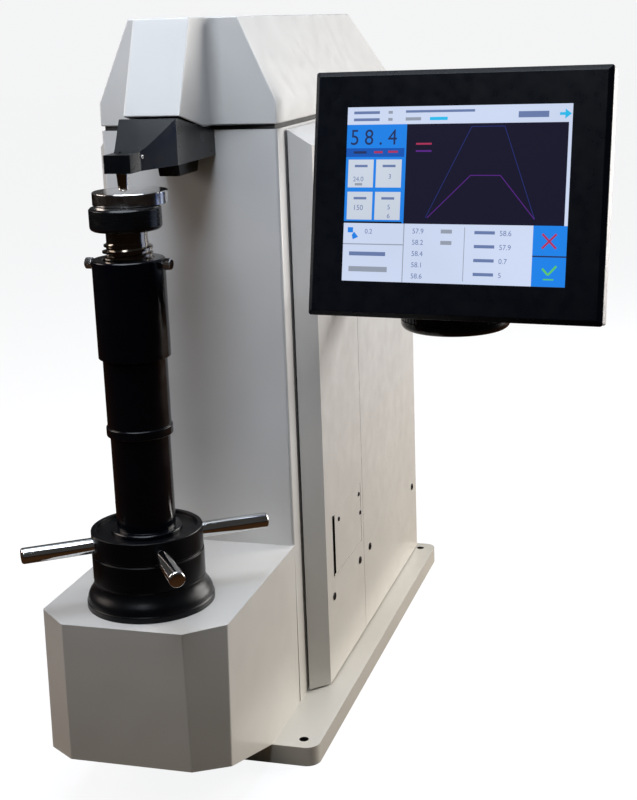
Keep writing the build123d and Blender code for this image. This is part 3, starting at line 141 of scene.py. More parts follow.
joined(
    laminate_tree,
    (surface.outputs[0], both.inputs[0]),
    (glow.outputs[0], both.inputs[1]),
    (ray.outputs["Is Camera Ray"], shown.inputs[0]),
    (ray.outputs["Is Glossy Ray"], reflected.inputs[0]),
    (bounce.outputs[0], reflected.inputs[1]),
    (mirrored.outputs[0], reflected.inputs[2]),
    (reflected.outputs[0], shown.inputs[1]),
    (both.outputs[0], shown.inputs[2]),
    (shown.outputs[0], laminate_tree.nodes["Material Output"].inputs["Surface"]),
)
bench_top.data.materials.append(laminate)

# ---------------------------------------------------------------- frame
# Base plate, pedestal and column are iron castings bolted together from inside. Their joints are
# filled and rubbed down, and light grey enamel over the whole keeps a faint orange peel; low down
# it is painted slightly warmer and darker as painted shade. The bolt holes are drilled after
# painting and show oiled iron, made near black as painted shade in the holes.
mm = 0.001


def speckle(tree, scale, detail=2.0, stretch=None):
    """Cloudy noise on the piece's own coordinates, drawn out along an axis if stretch is given."""
    where = tree.nodes.new("ShaderNodeTexCoord").outputs["Object"]
    if stretch:
        mapping = tree.nodes.new("ShaderNodeMapping")
        mapping.inputs["Scale"].default_value = stretch
        tree.links.new(where, mapping.inputs["Vector"])
        where = mapping.outputs["Vector"]
    grain = tree.nodes.new("ShaderNodeTexNoise")
    grain.inputs["Scale"].default_value = scale
    grain.inputs["Detail"].default_value = detail
    tree.links.new(where, grain.inputs["Vector"])
    return grain.outputs[0]


def between(tree, factor, low, high):
    """Spread the middle of a noise over the range from low to high."""
    spread = tree.nodes.new("ShaderNodeMapRange")
    spread.inputs["From Min"].default_value = 0.3
    spread.inputs["From Max"].default_value = 0.7
    spread.inputs["To Min"].default_value = low
    spread.inputs["To Max"].default_value = high
    tree.links.new(factor, spread.inputs["Value"])
    return spread.outputs["Result"]


def tones(tree, factor, dark, light):
    """Two tones of one colour, mixed by a noise."""
    mix = tree.nodes.new("ShaderNodeMix")
    mix.data_type = "RGBA"
    mix.inputs[6].default_value = (*dark, 1)
    mix.inputs[7].default_value = (*light, 1)
    tree.links.new(between(tree, factor, 0, 1), mix.inputs[0])
    return mix.outputs[2]


def relief(tree, shader, *layers):
    """Chain bumps onto a shader, each a height pattern and its depth in metres."""
    normal = None
    for pattern, depth in layers:
        bump = tree.nodes.new("ShaderNodeBump")
        bump.inputs["Distance"].default_value = depth
        tree.links.new(pattern, bump.inputs["Height"])
        if normal:
            tree.links.new(normal, bump.inputs["Normal"])
        normal = bump.outputs["Normal"]
    tree.links.new(normal, shader.inputs["Normal"])


def floor_shaded(tree, colour):
    """The colour with painted shade: made slightly warmer and darker from knee height down to the
    floor.
    """
    where = tree.nodes.new("ShaderNodeTexCoord").outputs["Object"]
    split = tree.nodes.new("ShaderNodeSeparateXYZ")
    tree.links.new(where, split.inputs["Vector"])
    shade_fall = tree.nodes.new("ShaderNodeMapRange")
    shade_fall.inputs["From Min"].default_value = 0.3
    shade_fall.inputs["From Max"].default_value = 0.0
    tree.links.new(split.outputs["Z"], shade_fall.inputs["Value"])
    mix = tree.nodes.new("ShaderNodeMix")
    mix.data_type = "RGBA"
    mix.blend_type = "MULTIPLY"
    mix.inputs[7].default_value = (1.0, 0.95, 0.85, 1)
    tree.links.new(shade_fall.outputs["Result"], mix.inputs[0])
    tree.links.new(colour, mix.inputs[6])
    return mix.outputs[2]


def enamel(name, dark, light, roughness, peel, wave=0.0, coat=0.3, shine=0.5, floor_shade=False):
    """Sprayed enamel: faint mottling, fine orange peel, the casting's waves if it has any, and, if
    asked, a painted warm shade that deepens towards the floor.
    """
    paint = bpy.data.materials.new(name)
    paint.use_nodes = True
    tree = paint.node_tree
    shader = tree.nodes["Principled BSDF"]
    colour = tones(tree, speckle(tree, 9), dark, light)
    tree.links.new(floor_shaded(tree, colour) if floor_shade else colour, shader.inputs["Base Color"])
    sheen = between(tree, speckle(tree, 60), roughness - 0.04, roughness + 0.05)
    tree.links.new(sheen, shader.inputs["Roughness"])
    shader.inputs["Coat Weight"].default_value = coat
    shader.inputs["Specular IOR Level"].default_value = shine
    shader.inputs["Coat Roughness"].default_value = 0.15
    layers = [(speckle(tree, 650), peel)]
    if wave:
        layers.append((speckle(tree, 14, 1), wave))
    relief(tree, shader, *layers)
    return paint


def copied(node, name):
    """The CAD node's loose triangles joined up, with its flat faces made whole again."""
    piece = bpy.data.objects.new(name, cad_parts[node].data.copy())
    scene.collection.objects.link(piece)
    mesh = bmesh.new()
    mesh.from_mesh(piece.data)
    bmesh.ops.remove_doubles(mesh, verts=mesh.verts, dist=0.01 * mm)
    bmesh.ops.dissolve_limit(mesh, angle_limit=radians(0.5), verts=mesh.verts, edges=mesh.edges)
    mesh.to_mesh(piece.data)
    mesh.free()
    if "custom_normal" in piece.data.attributes:
        piece.data.attributes.remove(piece.data.attributes["custom_normal"])
    return piece


def softened(piece, radius, rounds=3, angle=32):
    """Round off the sharp edges of a piece and keep its flat faces evenly shaded."""
    edge = piece.modifiers.new("Soft edges", "BEVEL")
    edge.width = radius * mm
    edge.segments = rounds
    edge.limit_method = "ANGLE"
    edge.angle_limit = radians(angle)
    piece.data.shade_smooth()
    even = piece.modifiers.new("Even faces", "WEIGHTED_NORMAL")
    even.keep_sharp = True
    return piece


def dress(piece, finish, body, slot, *nodes):
    """Give a piece its finish, its body, and the CAD nodes it stands for; slot is not used."""
    piece.data.materials.clear()
    piece.data.materials.append(finish)
    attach(piece, body)
    if nodes:
        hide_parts(*nodes)


# This enamel is painted slightly warmer and darker towards the floor: painted warm shade.
grey_enamel = enamel("Light grey enamel on iron", (0.59, 0.59, 0.595), (0.63, 0.63, 0.635), 0.36,
                     0.00006, 0.0012, floor_shade=True)


def worked(piece, tool, operation):
    """Join a tool object to a piece, or cut it away, and put the tool by."""
    step = piece.modifiers.new("Step", "BOOLEAN")
    step.operation = operation
    step.object = tool
    ready = bpy.context.evaluated_depsgraph_get()
    mesh = bpy.data.meshes.new_from_object(piece.evaluated_get(ready))
    piece.modifiers.clear()
    piece.data = mesh
    bpy.data.objects.remove(tool)


def lined(piece, finish, low, high):
    """Give the faces inside a box, its corners in millimetres, a finish of their own."""
    piece.data.materials.append(finish)
    for face in piece.data.polygons:
        if all(a * mm < c < b * mm for a, c, b in zip(low, face.center, high)):
            face.material_index = len(piece.data.materials) - 1


def fused(name, first, *others):
    """Copies of several CAD nodes made one skin, so that no seam shows under the paint."""
    whole = copied(first, name)
    for node in others:
        worked(whole, copied(node, node + "_part"), "UNION")
    tidied = bmesh.new()
    tidied.from_mesh(whole.data)
    bmesh.ops.remove_doubles(tidied, verts=tidied.verts, dist=0.01 * mm)
    bmesh.ops.dissolve_limit(tidied, angle_limit=radians(0.5), verts=tidied.verts,
                             edges=tidied.edges)
    tidied.to_mesh(whole.data)
    tidied.free()
    return whole


casting = softened(fused("enamelled_castings", "column", "pedestal", "base_plate"), 1.8)
dress(casting, grey_enamel, "frame", "body_paint", "column", "pedestal", "base_plate")

# Bare iron in the holes, darkened to near black as painted shade inside them.
oiled_iron_and_shade = enamel("Oiled iron of the bolt holes", (0.012, 0.011, 0.01), (0.02, 0.018, 0.016),
                    0.4, 0.00004, coat=0.0)
bolt_across = 222
bolt_along = 514
hole_reach = 5
base_low, base_high = 0.5, 18.8
for x in (-bolt_across / 2, bolt_across / 2):
    for y in (-bolt_along / 2, bolt_along / 2):
        lined(casting, oiled_iron_and_shade, (x - hole_reach, y - hole_reach, base_low),
              (x + hole_reach, y + hole_reach, base_high))

# ---------------------------------------------------------------- side covers and access door
# Pans folded from 1.5 mm sheet that stand proud of the column on posts, two to a side, in the
# same enamel with its painted warm shade low down. Low in the right front one is a flush door; its
# finger pull is black inside, a painted shadow for the shade in the recess.
sheet_enamel = enamel("Light grey enamel on sheet", (0.59, 0.59, 0.59), (0.625, 0.625, 0.625), 0.33,
                      0.00004, 0.0003, floor_shade=True)
for node in ("left_front_cover", "right_front_cover", "left_rear_cover", "right_rear_cover"):
    cover = softened(copied(node, "folded_" + node), 0.7, 2)
    dress(cover, sheet_enamel, "frame", "body_paint", node)

cover_face = 105.5
pull_middle = Vector((105.25, -114.1, 159))
pull_size = (3.5, 10.2, 62)
door = copied("access_door", "flush_door")
cutter = bmesh.new()
bmesh.ops.create_cube(cutter, size=mm, matrix=Matrix.Translation(pull_middle * mm)
                      @ Matrix.Diagonal((*pull_size, 1)))
worked(door, kept(cutter, "Finger pull"), "DIFFERENCE")
dress(softened(door, 0.35, 2), sheet_enamel, "frame", "body_paint", "access_door")
# Near-black finish inside the pull: a painted shadow for the shade in the recess.
pull_painted_shadow = enamel("Painted shadow inside the finger pull", (0.006, 0.006, 0.005), (0.009, 0.009, 0.007),
                    0.6, 0.00002, coat=0.0, shine=0.2)
lined(door, pull_painted_shadow, (101, -119.5, 127), (cover_face - 0.1, -108.8, 191))

# ---------------------------------------------------------------- cover screws
# Black socket-head screws in the covers, the access door, the rear panel and the back of the head.
# Each is a turned head with a broached hexagon, set in its own hole with its face outwards.
column_front = -183.0
panel_face = 263.5


def metal(name, dark, light, roughness, grain=(1, 1, 1), scale=300, depth=0.00002, metallic=1.0):
    """Bare or plated metal with a tooling grain drawn out along one axis."""
    stock = bpy.data.materials.new(name)
    stock.use_nodes = True
    tree = stock.node_tree
    shader = tree.nodes["Principled BSDF"]
    shader.inputs["Metallic"].default_value = metallic
    marks = speckle(tree, scale, 3, grain)
    tree.links.new(tones(tree, speckle(tree, 40), dark, light), shader.inputs["Base Color"])
    tree.links.new(between(tree, marks, roughness * 0.75, roughness * 1.3),
                   shader.inputs["Roughness"])
    relief(tree, shader, (marks, depth))
    return stock


def new_tree(name, *inputs):
    """An empty Geometry Nodes tree with named inputs; returns it with its two ends."""
    tree = bpy.data.node_groups.new(name, "GeometryNodeTree")
    tree.interface.new_socket("Geometry", in_out="INPUT", socket_type="NodeSocketGeometry")
    for label, kind in inputs:
        tree.interface.new_socket(label, in_out="INPUT", socket_type=kind)
    tree.interface.new_socket("Geometry", in_out="OUTPUT", socket_type="NodeSocketGeometry")
    return tree, tree.nodes.new("NodeGroupInput"), tree.nodes.new("NodeGroupOutput")


def grown(name, seed_mesh, tree, **values):
    """Run a tree on a mesh with its inputs set, and keep the result as a plain mesh piece."""
    seed_piece = bpy.data.objects.new(name + "_seed", seed_mesh)
    scene.collection.objects.link(seed_piece)
    nodes = seed_piece.modifiers.new("Grow", "NODES")
    nodes.node_group = tree
    for item in tree.interface.items_tree:
        label = item.name.replace(" ", "_").lower()
        if item.in_out == "INPUT" and label in values:
            nodes[item.identifier] = values[label]
    ready = bpy.context.evaluated_depsgraph_get()
    mesh = bpy.data.meshes.new_from_object(seed_piece.evaluated_get(ready))
    bpy.data.objects.remove(seed_piece)
    piece = bpy.data.objects.new(name, mesh)
    scene.collection.objects.link(piece)
    return piece


def screw_tree():
    """A socket-head screw on every point, its face turned along the point's facing."""
    tree, start, end = new_tree(
        "Socket screws", ("Head radius", "NodeSocketFloat"), ("Head height", "NodeSocketFloat"),
        ("Socket radius", "NodeSocketFloat"), ("Finish", "NodeSocketMaterial"))
    head = tree.nodes.new("GeometryNodeMeshCylinder")
    head.inputs["Vertices"].default_value = 28
    hexagon = tree.nodes.new("GeometryNodeMeshCylinder")
    hexagon.inputs["Vertices"].default_value = 6
    raised = tree.nodes.new("GeometryNodeTransform")
    lift = tree.nodes.new("ShaderNodeCombineXYZ")
    broached = tree.nodes.new("GeometryNodeMeshBoolean")
    broached.operation = "DIFFERENCE"
    facing = tree.nodes.new("GeometryNodeInputNamedAttribute")
    facing.data_type = "FLOAT_VECTOR"
    facing.inputs["Name"].default_value = "facing"
    turn = tree.nodes.new("FunctionNodeAlignRotationToVector")
    turn.axis = "Z"
    placed = tree.nodes.new("GeometryNodeInstanceOnPoints")
    real = tree.nodes.new("GeometryNodeRealizeInstances")
    painted = tree.nodes.new("GeometryNodeSetMaterial")
    joined(
        tree,
        (start.outputs["Head radius"], head.inputs["Radius"]),
        (start.outputs["Head height"], head.inputs["Depth"]),
        (start.outputs["Socket radius"], hexagon.inputs["Radius"]),
        (start.outputs["Head height"], hexagon.inputs["Depth"]),
        (start.outputs["Head height"], lift.inputs["Z"]),
        (lift.outputs["Vector"], raised.inputs["Translation"]),
        (hexagon.outputs["Mesh"], raised.inputs["Geometry"]),
        (head.outputs["Mesh"], broached.inputs["Mesh 1"]),
        (raised.outputs["Geometry"], broached.inputs["Mesh 2"]),
        (start.outputs["Geometry"], placed.inputs["Points"]),
        (broached.outputs["Mesh"], placed.inputs["Instance"]),
        (facing.outputs[0], turn.inputs["Vector"]),
        (turn.outputs["Rotation"], placed.inputs["Rotation"]),
        (placed.outputs["Instances"], real.inputs["Geometry"]),
        (real.outputs["Geometry"], painted.inputs["Geometry"]),
        (start.outputs["Finish"], painted.inputs["Material"]),
        (painted.outputs["Geometry"], end.inputs["Geometry"]),
    )
    return tree


socket_screws = screw_tree()
black_screw = metal("Blackened screw steel", (0.02, 0.02, 0.022), (0.05, 0.05, 0.052), 0.35)


def screws(name, places, radius, height, socket, finish, slot, *nodes):
    """Screw heads at places, each a point in millimetres and the way its face looks."""
    mesh = bpy.data.meshes.new(name)
    mesh.from_pydata([Vector(at) * mm for at, way in places], [], [])
    facing = mesh.attributes.new("facing", "FLOAT_VECTOR", "POINT")
    for index, (at, way) in enumerate(places):
        facing.data[index].vector = way
    piece = grown(name, mesh, socket_screws, head_radius=radius * mm, head_height=height * mm,
                  socket_radius=socket * mm, finish=finish)
    softened(piece, 0.25, 2)
    dress(piece, finish, "frame", slot, *nodes)


cover_places = [
    ((side * (cover_face + 0.4), column_front + along, height), (side, 0, 0))
    for side in (1, -1) for along in (62.5, 165, 208, 420) for height in (107, 520)
]
head_places = [((side * 17, column_front - 7.2, 564), (0, -1, 0)) for side in (1, -1)]
panel_places = [
    ((side * 79.5, panel_face + 0.9, height), (0, 1, 0))
    for side in (1, -1) for height in (34, 301.75, 568.5)
]
door_places = [((cover_face + 0.3, along, height), (1, 0, 0))
               for along, height in ((-95, 181), (-15, 181), (-11, 159))]
screws("door_screws", door_places, 2.2, 1.2, 1, black_screw, "fastener_steel")
screws("socket_screws", cover_places + head_places + panel_places, 3.9, 1.6, 1.8, black_screw,
       "fastener_steel", "cover_screws")

# ---------------------------------------------------------------- hood
# A welded sheet hood over the lever, with sloping sides, a roof that falls at the rear and a nose
# that reaches out over the head. It sits on a black foam seal and wears the same enamel.
hood = softened(copied("hood", "welded_hood"), 1.6)
dress(hood, sheet_enamel, "frame", "body_paint", "hood")


def refinish(finish, *nodes):
    """Give CAD nodes a finish on their own meshes."""
    for node in nodes:
        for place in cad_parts[node].material_slots:
            place.material = finish


def moulded(name, dark, light, roughness, grain_depth, grain=1400, shine=0.5):
    """Moulded plastic or rubber with the fine eroded grain of its tool."""
    plastic = bpy.data.materials.new(name)
    plastic.use_nodes = True
    tree = plastic.node_tree
    shader = tree.nodes["Principled BSDF"]
    tree.links.new(tones(tree, speckle(tree, 25), dark, light), shader.inputs["Base Color"])
    sheen = between(tree, speckle(tree, 90), roughness - 0.05, roughness + 0.05)
    tree.links.new(sheen, shader.inputs["Roughness"])
    shader.inputs["Specular IOR Level"].default_value = shine
    relief(tree, shader, (speckle(tree, grain, 3), grain_depth))
    return plastic


rubber = moulded("Black rubber", (0.012, 0.012, 0.012), (0.025, 0.025, 0.025), 0.7, 0.00008, 500)
refinish(rubber, "hood_seal", "timing_belt")

# ---------------------------------------------------------------- spindle head and lamp
# A black enamelled snout screwed under the nose, wide at the column and stepped down to the small
# block that guides the spindle. The block has a tapped hole on top and a clamp screw in its side,
# and a work lamp hangs under the snout's middle.
black_enamel = enamel("Black enamel", (0.0010, 0.0015, 0.0030), (0.0016, 0.0022, 0.0042), 0.18,
                      0.000006, coat=0.0, shine=0.33)
tapped_r = 1.4
tapped_place = Vector((-6, -322, 573))
clamp_place = (12.3, -319, 568.5)
snout = copied("snout", "enamelled_snout")
drill = bmesh.new()
bmesh.ops.create_cone(drill, cap_ends=True, segments=20, radius1=tapped_r * mm,
                      radius2=tapped_r * mm, depth=8 * mm,
                      matrix=Matrix.Translation(tapped_place * mm))
worked(snout, kept(drill, "Tapped hole"), "DIFFERENCE")
head_black = enamel("Dull black enamel of the head", (0.0015, 0.0022, 0.0035),
                    (0.0025, 0.0034, 0.005), 0.3, 0.00001, coat=0.0, shine=0.36)
dress(softened(snout, 0.5, 2, 9), head_black, "frame", "black_enamel", "snout")
plated_screw = metal("Plated clamp screw", (0.5, 0.49, 0.47), (0.6, 0.59, 0.57), 0.25)
screws("snout_clamp_screw", [(clamp_place, (1, 0, 0))], 1.6, 1.4, 0.8, plated_screw, "screw_steel")
lamp = softened(copied("lamp_housing", "lamp_box"), 0.8)
dress(lamp, black_enamel, "frame", "black_enamel", "lamp_housing")

frosted = moulded("Frosted lamp glass", (0.55, 0.56, 0.55), (0.7, 0.7, 0.68), 0.25, 0.00004)
refinish(frosted, "lamp_lens")

# ---------------------------------------------------------------- spindle and indenter
# The ground spindle slides in a steel guide and carries the indenter: a polished holder with a
# diamond set in the tip of its cone.
axis_y = -333.0


def turned(name, profile, segments=96, foot=(0, axis_y, 0), way="Z"):
    """A round piece turned from its closed half section, radii and heights in millimetres."""
    mesh = bmesh.new()
    points = [mesh.verts.new((radius, 0, height)) for radius, height in profile]
    edges = [mesh.edges.new((a, b)) for a, b in zip(points, points[1:] + points[:1])]
    bmesh.ops.spin(mesh, geom=points + edges, cent=(0, 0, 0), axis=(0, 0, 1), angle=tau,
                   steps=segments, use_merge=True)
    bmesh.ops.remove_doubles(mesh, verts=mesh.verts, dist=0.0005)
    bmesh.ops.dissolve_degenerate(mesh, edges=mesh.edges, dist=0.0001)
    bmesh.ops.recalc_face_normals(mesh, faces=mesh.faces)
    lay = Matrix.Rotation(pi / 2, 4, "Y") if way == "X" else Matrix.Identity(4)
    bmesh.ops.transform(mesh, verts=mesh.verts,
                        matrix=Matrix.Scale(mm, 4) @ Matrix.Translation(foot) @ lay)
    return kept(mesh, name)


polished = metal("Polished steel", (0.58, 0.55, 0.52), (0.66, 0.64, 0.61), 0.12, (1, 1, 14), 120,
                 0.000004)
spindle = turned("ground_spindle", [(2.95, 557.5), (6, 557.5), (6, 565.1), (5.2, 565.9), (0, 565.9),
                                    (0, 563.9), (2.95, 563.9)], 64)
dress(softened(spindle, 0.2, 2), polished, "spindle", "polished_steel", "spindle")
holder = turned("indenter_holder_turned", [
    (0, 541.67), (1.4, 541.67), (4.2, 543.4), (5.2, 557.5), (2.9, 557.5), (2.9, 562.9),
    (0, 562.9)], 64)
dress(softened(holder, 0.15, 2), polished, "spindle", "polished_steel", "indenter_holder")
refinish(polished, "spindle_guide", "lever_shaft", "guide_rod", "tilt_pin", "ball_screw")
diamond = moulded("Diamond", (0.75, 0.8, 0.85), (0.9, 0.93, 0.96), 0.05, 0.000005)
refinish(diamond, "diamond_cone")

# ---------------------------------------------------------------- elevating screw, nut and bearing
# A 42 mm steel screw with a 5 mm trapezoidal thread. It can't turn, held by a key in the bronze
# bush, and climbs as the bronze nut turns on its ball bearing.
crest_r = 21.0
root_r = 17.6
thread_pitch = 5.0
thread_low = 140.0
thread_high = 500.0
run_out = 1.5
journal_r = 17.2
journal_top = 510.3
around = 40


def threaded_rod(name):
    """The screw's core with one long ridge wound round it, running out at both ends."""
    piece = turned(name, [(0, thread_low), (root_r - 1, thread_low), (root_r, thread_low + 1),
                          (root_r, thread_high), (journal_r, thread_high), (journal_r, journal_top),
                          (0, journal_top)], 64)
    mesh = bmesh.new()
    mesh.from_mesh(piece.data)
    steps = int((thread_high - run_out - thread_low - thread_pitch) / thread_pitch * around)
    last = None
    for step in range(steps + 1):
        angle = tau * step / around
        middle = thread_low + thread_pitch + thread_pitch * step / around
        fade = min(1, 4 * step / around, 4 * (steps - step) / around)
        crest = root_r + (crest_r - root_r) * fade
        section = []
        for radius, lift in ((root_r - 0.3, -1.9), (crest, -0.9), (crest, 0.9),
                             (root_r - 0.3, 1.9)):
            section.append(mesh.verts.new(Vector((
                radius * cos(angle), axis_y + radius * sin(angle), middle + lift)) * mm))
        if last:
            for side in range(4):
                onward = (side + 1) % 4
                mesh.faces.new((last[side], last[onward], section[onward], section[side]))
        else:
            mesh.faces.new(section[::-1])
        last = section
    mesh.faces.new(last)
    bmesh.ops.recalc_face_normals(mesh, faces=mesh.faces)
    mesh.to_mesh(piece.data)
    mesh.free()
    return piece


screw_steel = metal("Rolled screw steel", (0.30, 0.27, 0.24), (0.40, 0.37, 0.33), 0.16,
                    (1, 1, 6), 300, 0.000004)
lift_screw = threaded_rod("threaded_screw")
lift_screw.data.shade_smooth()
lift_screw.data.set_sharp_from_angle(angle=radians(30))
dress(lift_screw, screw_steel, "elevating_screw", "screw_steel", "elevating_screw")
refinish(screw_steel, "screw_key", "upper_race", "lower_race", "thrust_balls", "ball_bearings",
         "ball_nut", "motor_shaft")
bronze = metal("Bronze", (0.46, 0.29, 0.12), (0.58, 0.38, 0.17), 0.3, (1, 1, 10))
refinish(bronze, "elevating_nut", "guide_bush")

# ---------------------------------------------------------------- bearing skirt and handwheel
# A turned skirt on the pedestal hides the thrust bearing, and over it turns the handwheel: a black
# enamelled hub with a groove near its top and four chromed bars pressed in.
pedestal_top = 183.0
skirt = turned("turned_skirt", [
    (43.5, pedestal_top), (55.8, pedestal_top), (55.8, pedestal_top + 5), (55, pedestal_top + 5.8),
    (54.6, pedestal_top + 9), (53.9, pedestal_top + 11), (52.9, pedestal_top + 13),
    (51.4, pedestal_top + 15), (50.2, pedestal_top + 17), (49.2, pedestal_top + 19.4),
    (48.6, pedestal_top + 21.8), (48.6, pedestal_top + 23.8), (43.5, pedestal_top + 23.8)], 128)
satin_black = enamel("Satin black enamel", (0.0010, 0.0014, 0.0024), (0.0018, 0.0023, 0.0036),
                     0.33, 0.000008, coat=0.0, shine=0.2)
dress(softened(skirt, 0.5), satin_black, "frame", "black_enamel", "bearing_skirt")

hub = turned("turned_hub", [
    (34.05, 215.5), (42, 215.5), (42, 207.5), (48.8, 207.5), (48.8, 229.8), (47.6, 230.4),
    (47.6, 231.6), (48.4, 232.2), (48.4, 251), (47.8, 251.6), (44, 251.6), (44, 248.3),
    (22.8, 248.3), (22.8, 244), (34.05, 244)], 128)
dress(softened(hub, 0.45), satin_black, "handwheel", "black_enamel", "handwheel_hub")


def ring_tree():
    """Copies of the piece turned about the upright axis through the origin, evenly spaced."""
    tree, start, end = new_tree(
        "Ring of copies", ("Count", "NodeSocketInt"), ("First angle", "NodeSocketFloat"),
        ("Finish", "NodeSocketMaterial"))
    points = tree.nodes.new("GeometryNodePoints")
    index = tree.nodes.new("GeometryNodeInputIndex")
    share = tree.nodes.new("ShaderNodeMath")
    share.operation = "DIVIDE"
    share.inputs[0].default_value = tau
    turn = tree.nodes.new("ShaderNodeMath")
    turn.operation = "MULTIPLY_ADD"
    angles = tree.nodes.new("ShaderNodeCombineXYZ")
    placed = tree.nodes.new("GeometryNodeInstanceOnPoints")
    real = tree.nodes.new("GeometryNodeRealizeInstances")
    painted = tree.nodes.new("GeometryNodeSetMaterial")
    joined(
        tree,
        (start.outputs["Count"], points.inputs["Count"]),
        (start.outputs["Count"], share.inputs[1]),
        (index.outputs["Index"], turn.inputs[0]),
        (share.outputs[0], turn.inputs[1]),
        (start.outputs["First angle"], turn.inputs[2]),
        (turn.outputs[0], angles.inputs["Z"]),
        (points.outputs[0], placed.inputs["Points"]),
        (start.outputs["Geometry"], placed.inputs["Instance"]),
        (angles.outputs["Vector"], placed.inputs["Rotation"]),
        (placed.outputs["Instances"], real.inputs["Geometry"]),
        (real.outputs["Geometry"], painted.inputs["Geometry"]),
        (start.outputs["Finish"], painted.inputs["Material"]),
        (painted.outputs["Geometry"], end.inputs["Geometry"]),
    )
    return tree


ring_of_copies = ring_tree()


def ringed(name, piece, count, first, finish, place):
    """Ring copies of a piece round the origin, then put the ring in its place."""
    ring = grown(name, piece.data, ring_of_copies, count=count, first_angle=radians(first),
                 finish=finish)
    bpy.data.objects.remove(piece)
    ring.data.transform(place)
    return ring


chrome = metal("Bright chrome", (0.66, 0.66, 0.66), (0.74, 0.74, 0.74), 0.07, (1, 1, 1), 60,
               0.000004)
bar = turned("bar", [(0, 36), (7, 36), (7, 107.2), (6.7, 108.2), (5.9, 108.95), (5, 109.2),
                     (0, 109.2)], 48, (0, 0, 0), "X")
bars = ringed("handwheel_bars", bar, 4, 35.4, chrome,
              Matrix.Translation(Vector((0, axis_y, 240.5)) * mm))
bars.data.shade_smooth()
bars.data.set_sharp_from_angle(angle=radians(40))
dress(bars, chrome, "handwheel", "chrome", "handwheel_rods")

# ---------------------------------------------------------------- guard tubes and thumb screws
# Three black tubes telescope over the screw: the lower one stands in the hub, the middle one rests
# on its lip, and the upper one hangs from a collar clamped to the screw by two knurled screws.
lower_tube = turned("lower_tube", [
    (22.8, 248.3), (31, 248.3), (31, 251.3), (30, 252.3), (25.5, 252.3), (25.5, 344.4), (24.9, 345),
    (22.8, 345)], 128)
dress(softened(lower_tube, 0.3, 2), black_enamel, "handwheel", "black_enamel", "lower_guard_tube")
middle_tube = turned("middle_tube", [
    (25.8, 335.5), (27.8, 335.5), (28.4, 336.1), (28.4, 342.9), (27.8, 343.5), (27.2, 343.5),
    (27.2, 413.5), (25.8, 413.5)], 128)
dress(softened(middle_tube, 0.3, 2), black_enamel, "middle_tube", "black_enamel",
      "middle_guard_tube")
upper_tube = turned("upper_tube", [
    (28.7, 403.3), (30.5, 403.3), (30.5, 485.6), (29.5, 486.6), (21.4, 486.6), (21.4, 477),
    (28.7, 477)], 128)
dress(softened(upper_tube, 0.35), black_enamel, "elevating_screw", "black_enamel",
      "upper_guard_tube")

for side, word in ((1, "right"), (-1, "left")):
    turn_over = Matrix.Rotation(side * pi / 2, 4, "Y")
    place = Matrix.Translation(Vector((side * 38.5, axis_y, 482)) * mm) @ turn_over
    rib = turned("rib", [(0, -6.3), (0.35, -6), (0.35, -0.5), (0, -0.2)], 6, (4.55, 0, 0))
    knurl = ringed("thumb_screw_" + word + "_knurl", rib, 24, 0, chrome, place)
    stem = turned("thumb_screw_" + word + "_turned", [
        (0, -17.3), (3, -17.3), (3, -6.5), (4.3, -6.5), (4.6, -6.1), (4.6, -0.5), (4.1, 0), (0, 0)],
        40, (0, 0, 0))
    mesh = bmesh.new()
    mesh.from_mesh(stem.data)
    bmesh.ops.transform(mesh, verts=mesh.verts, matrix=place)
    mesh.from_mesh(knurl.data)
    mesh.to_mesh(stem.data)
    mesh.free()
    bpy.data.objects.remove(knurl)
    softened(stem, 0.2, 2)
    dress(stem, chrome, "thumb_screw_" + word, "chrome", "thumb_screw_" + word)

# ---------------------------------------------------------------- anvil and test block
# The flat anvil is blackened steel with an eased rim, its stem in the top of the screw. On it lies
# the round test block, its top lapped to a mirror and its rim ground.
black_steel = metal("Blackened anvil steel", (0.004, 0.0045, 0.0055), (0.008, 0.009, 0.011), 0.24,
                    (1, 1, 8), 100, 0.000005, metallic=0.4)
anvil = turned("turned_anvil", [
    (0, 480.3), (10, 480.3), (10, 510.3), (26, 510.3), (27.6, 510.6), (29, 511.5), (29.8, 512.8),
    (30, 514.3), (30, 528), (28.5, 529.5), (0, 529.5)], 128)
dress(softened(anvil, 0.3, 2), black_steel, "elevating_screw", "black_steel", "anvil")

lapped = bpy.data.materials.new("Lapped block steel")
lapped.use_nodes = True
lapped_tree = lapped.node_tree
lapped_shader = lapped_tree.nodes["Principled BSDF"]
lapped_shader.inputs["Metallic"].default_value = 1.0
centre = lapped_tree.nodes.new("ShaderNodeMapping")
centre.inputs["Location"].default_value = (0.002, 0.316, 0)
rings = lapped_tree.nodes.new("ShaderNodeTexWave")
rings.wave_type = "RINGS"
rings.rings_direction = "Z"
rings.inputs["Scale"].default_value = 260
rings.inputs["Distortion"].default_value = 1.5
joined(
    lapped_tree,
    (lapped_tree.nodes.new("ShaderNodeTexCoord").outputs["Object"], centre.inputs["Vector"]),
    (centre.outputs["Vector"], rings.inputs["Vector"]),
    (tones(lapped_tree, speckle(lapped_tree, 45), (0.76, 0.74, 0.73), (0.86, 0.85, 0.84)),
     lapped_shader.inputs["Base Color"]),
    (between(lapped_tree, rings.outputs["Fac"], 0.14, 0.2), lapped_shader.inputs["Roughness"]),
)
relief(lapped_tree, lapped_shader, (rings.outputs["Fac"], 0.000003))
block = turned("lapped_block", [
    (0, 529.5), (31.15, 529.5), (31.75, 530.1), (31.75, 539.9), (31.15, 540.5), (0, 540.5)],
    128, (-2, axis_y + 17, 0))
dress(softened(block, 0.15, 2), lapped, "test_block", "polished_steel", "test_block")

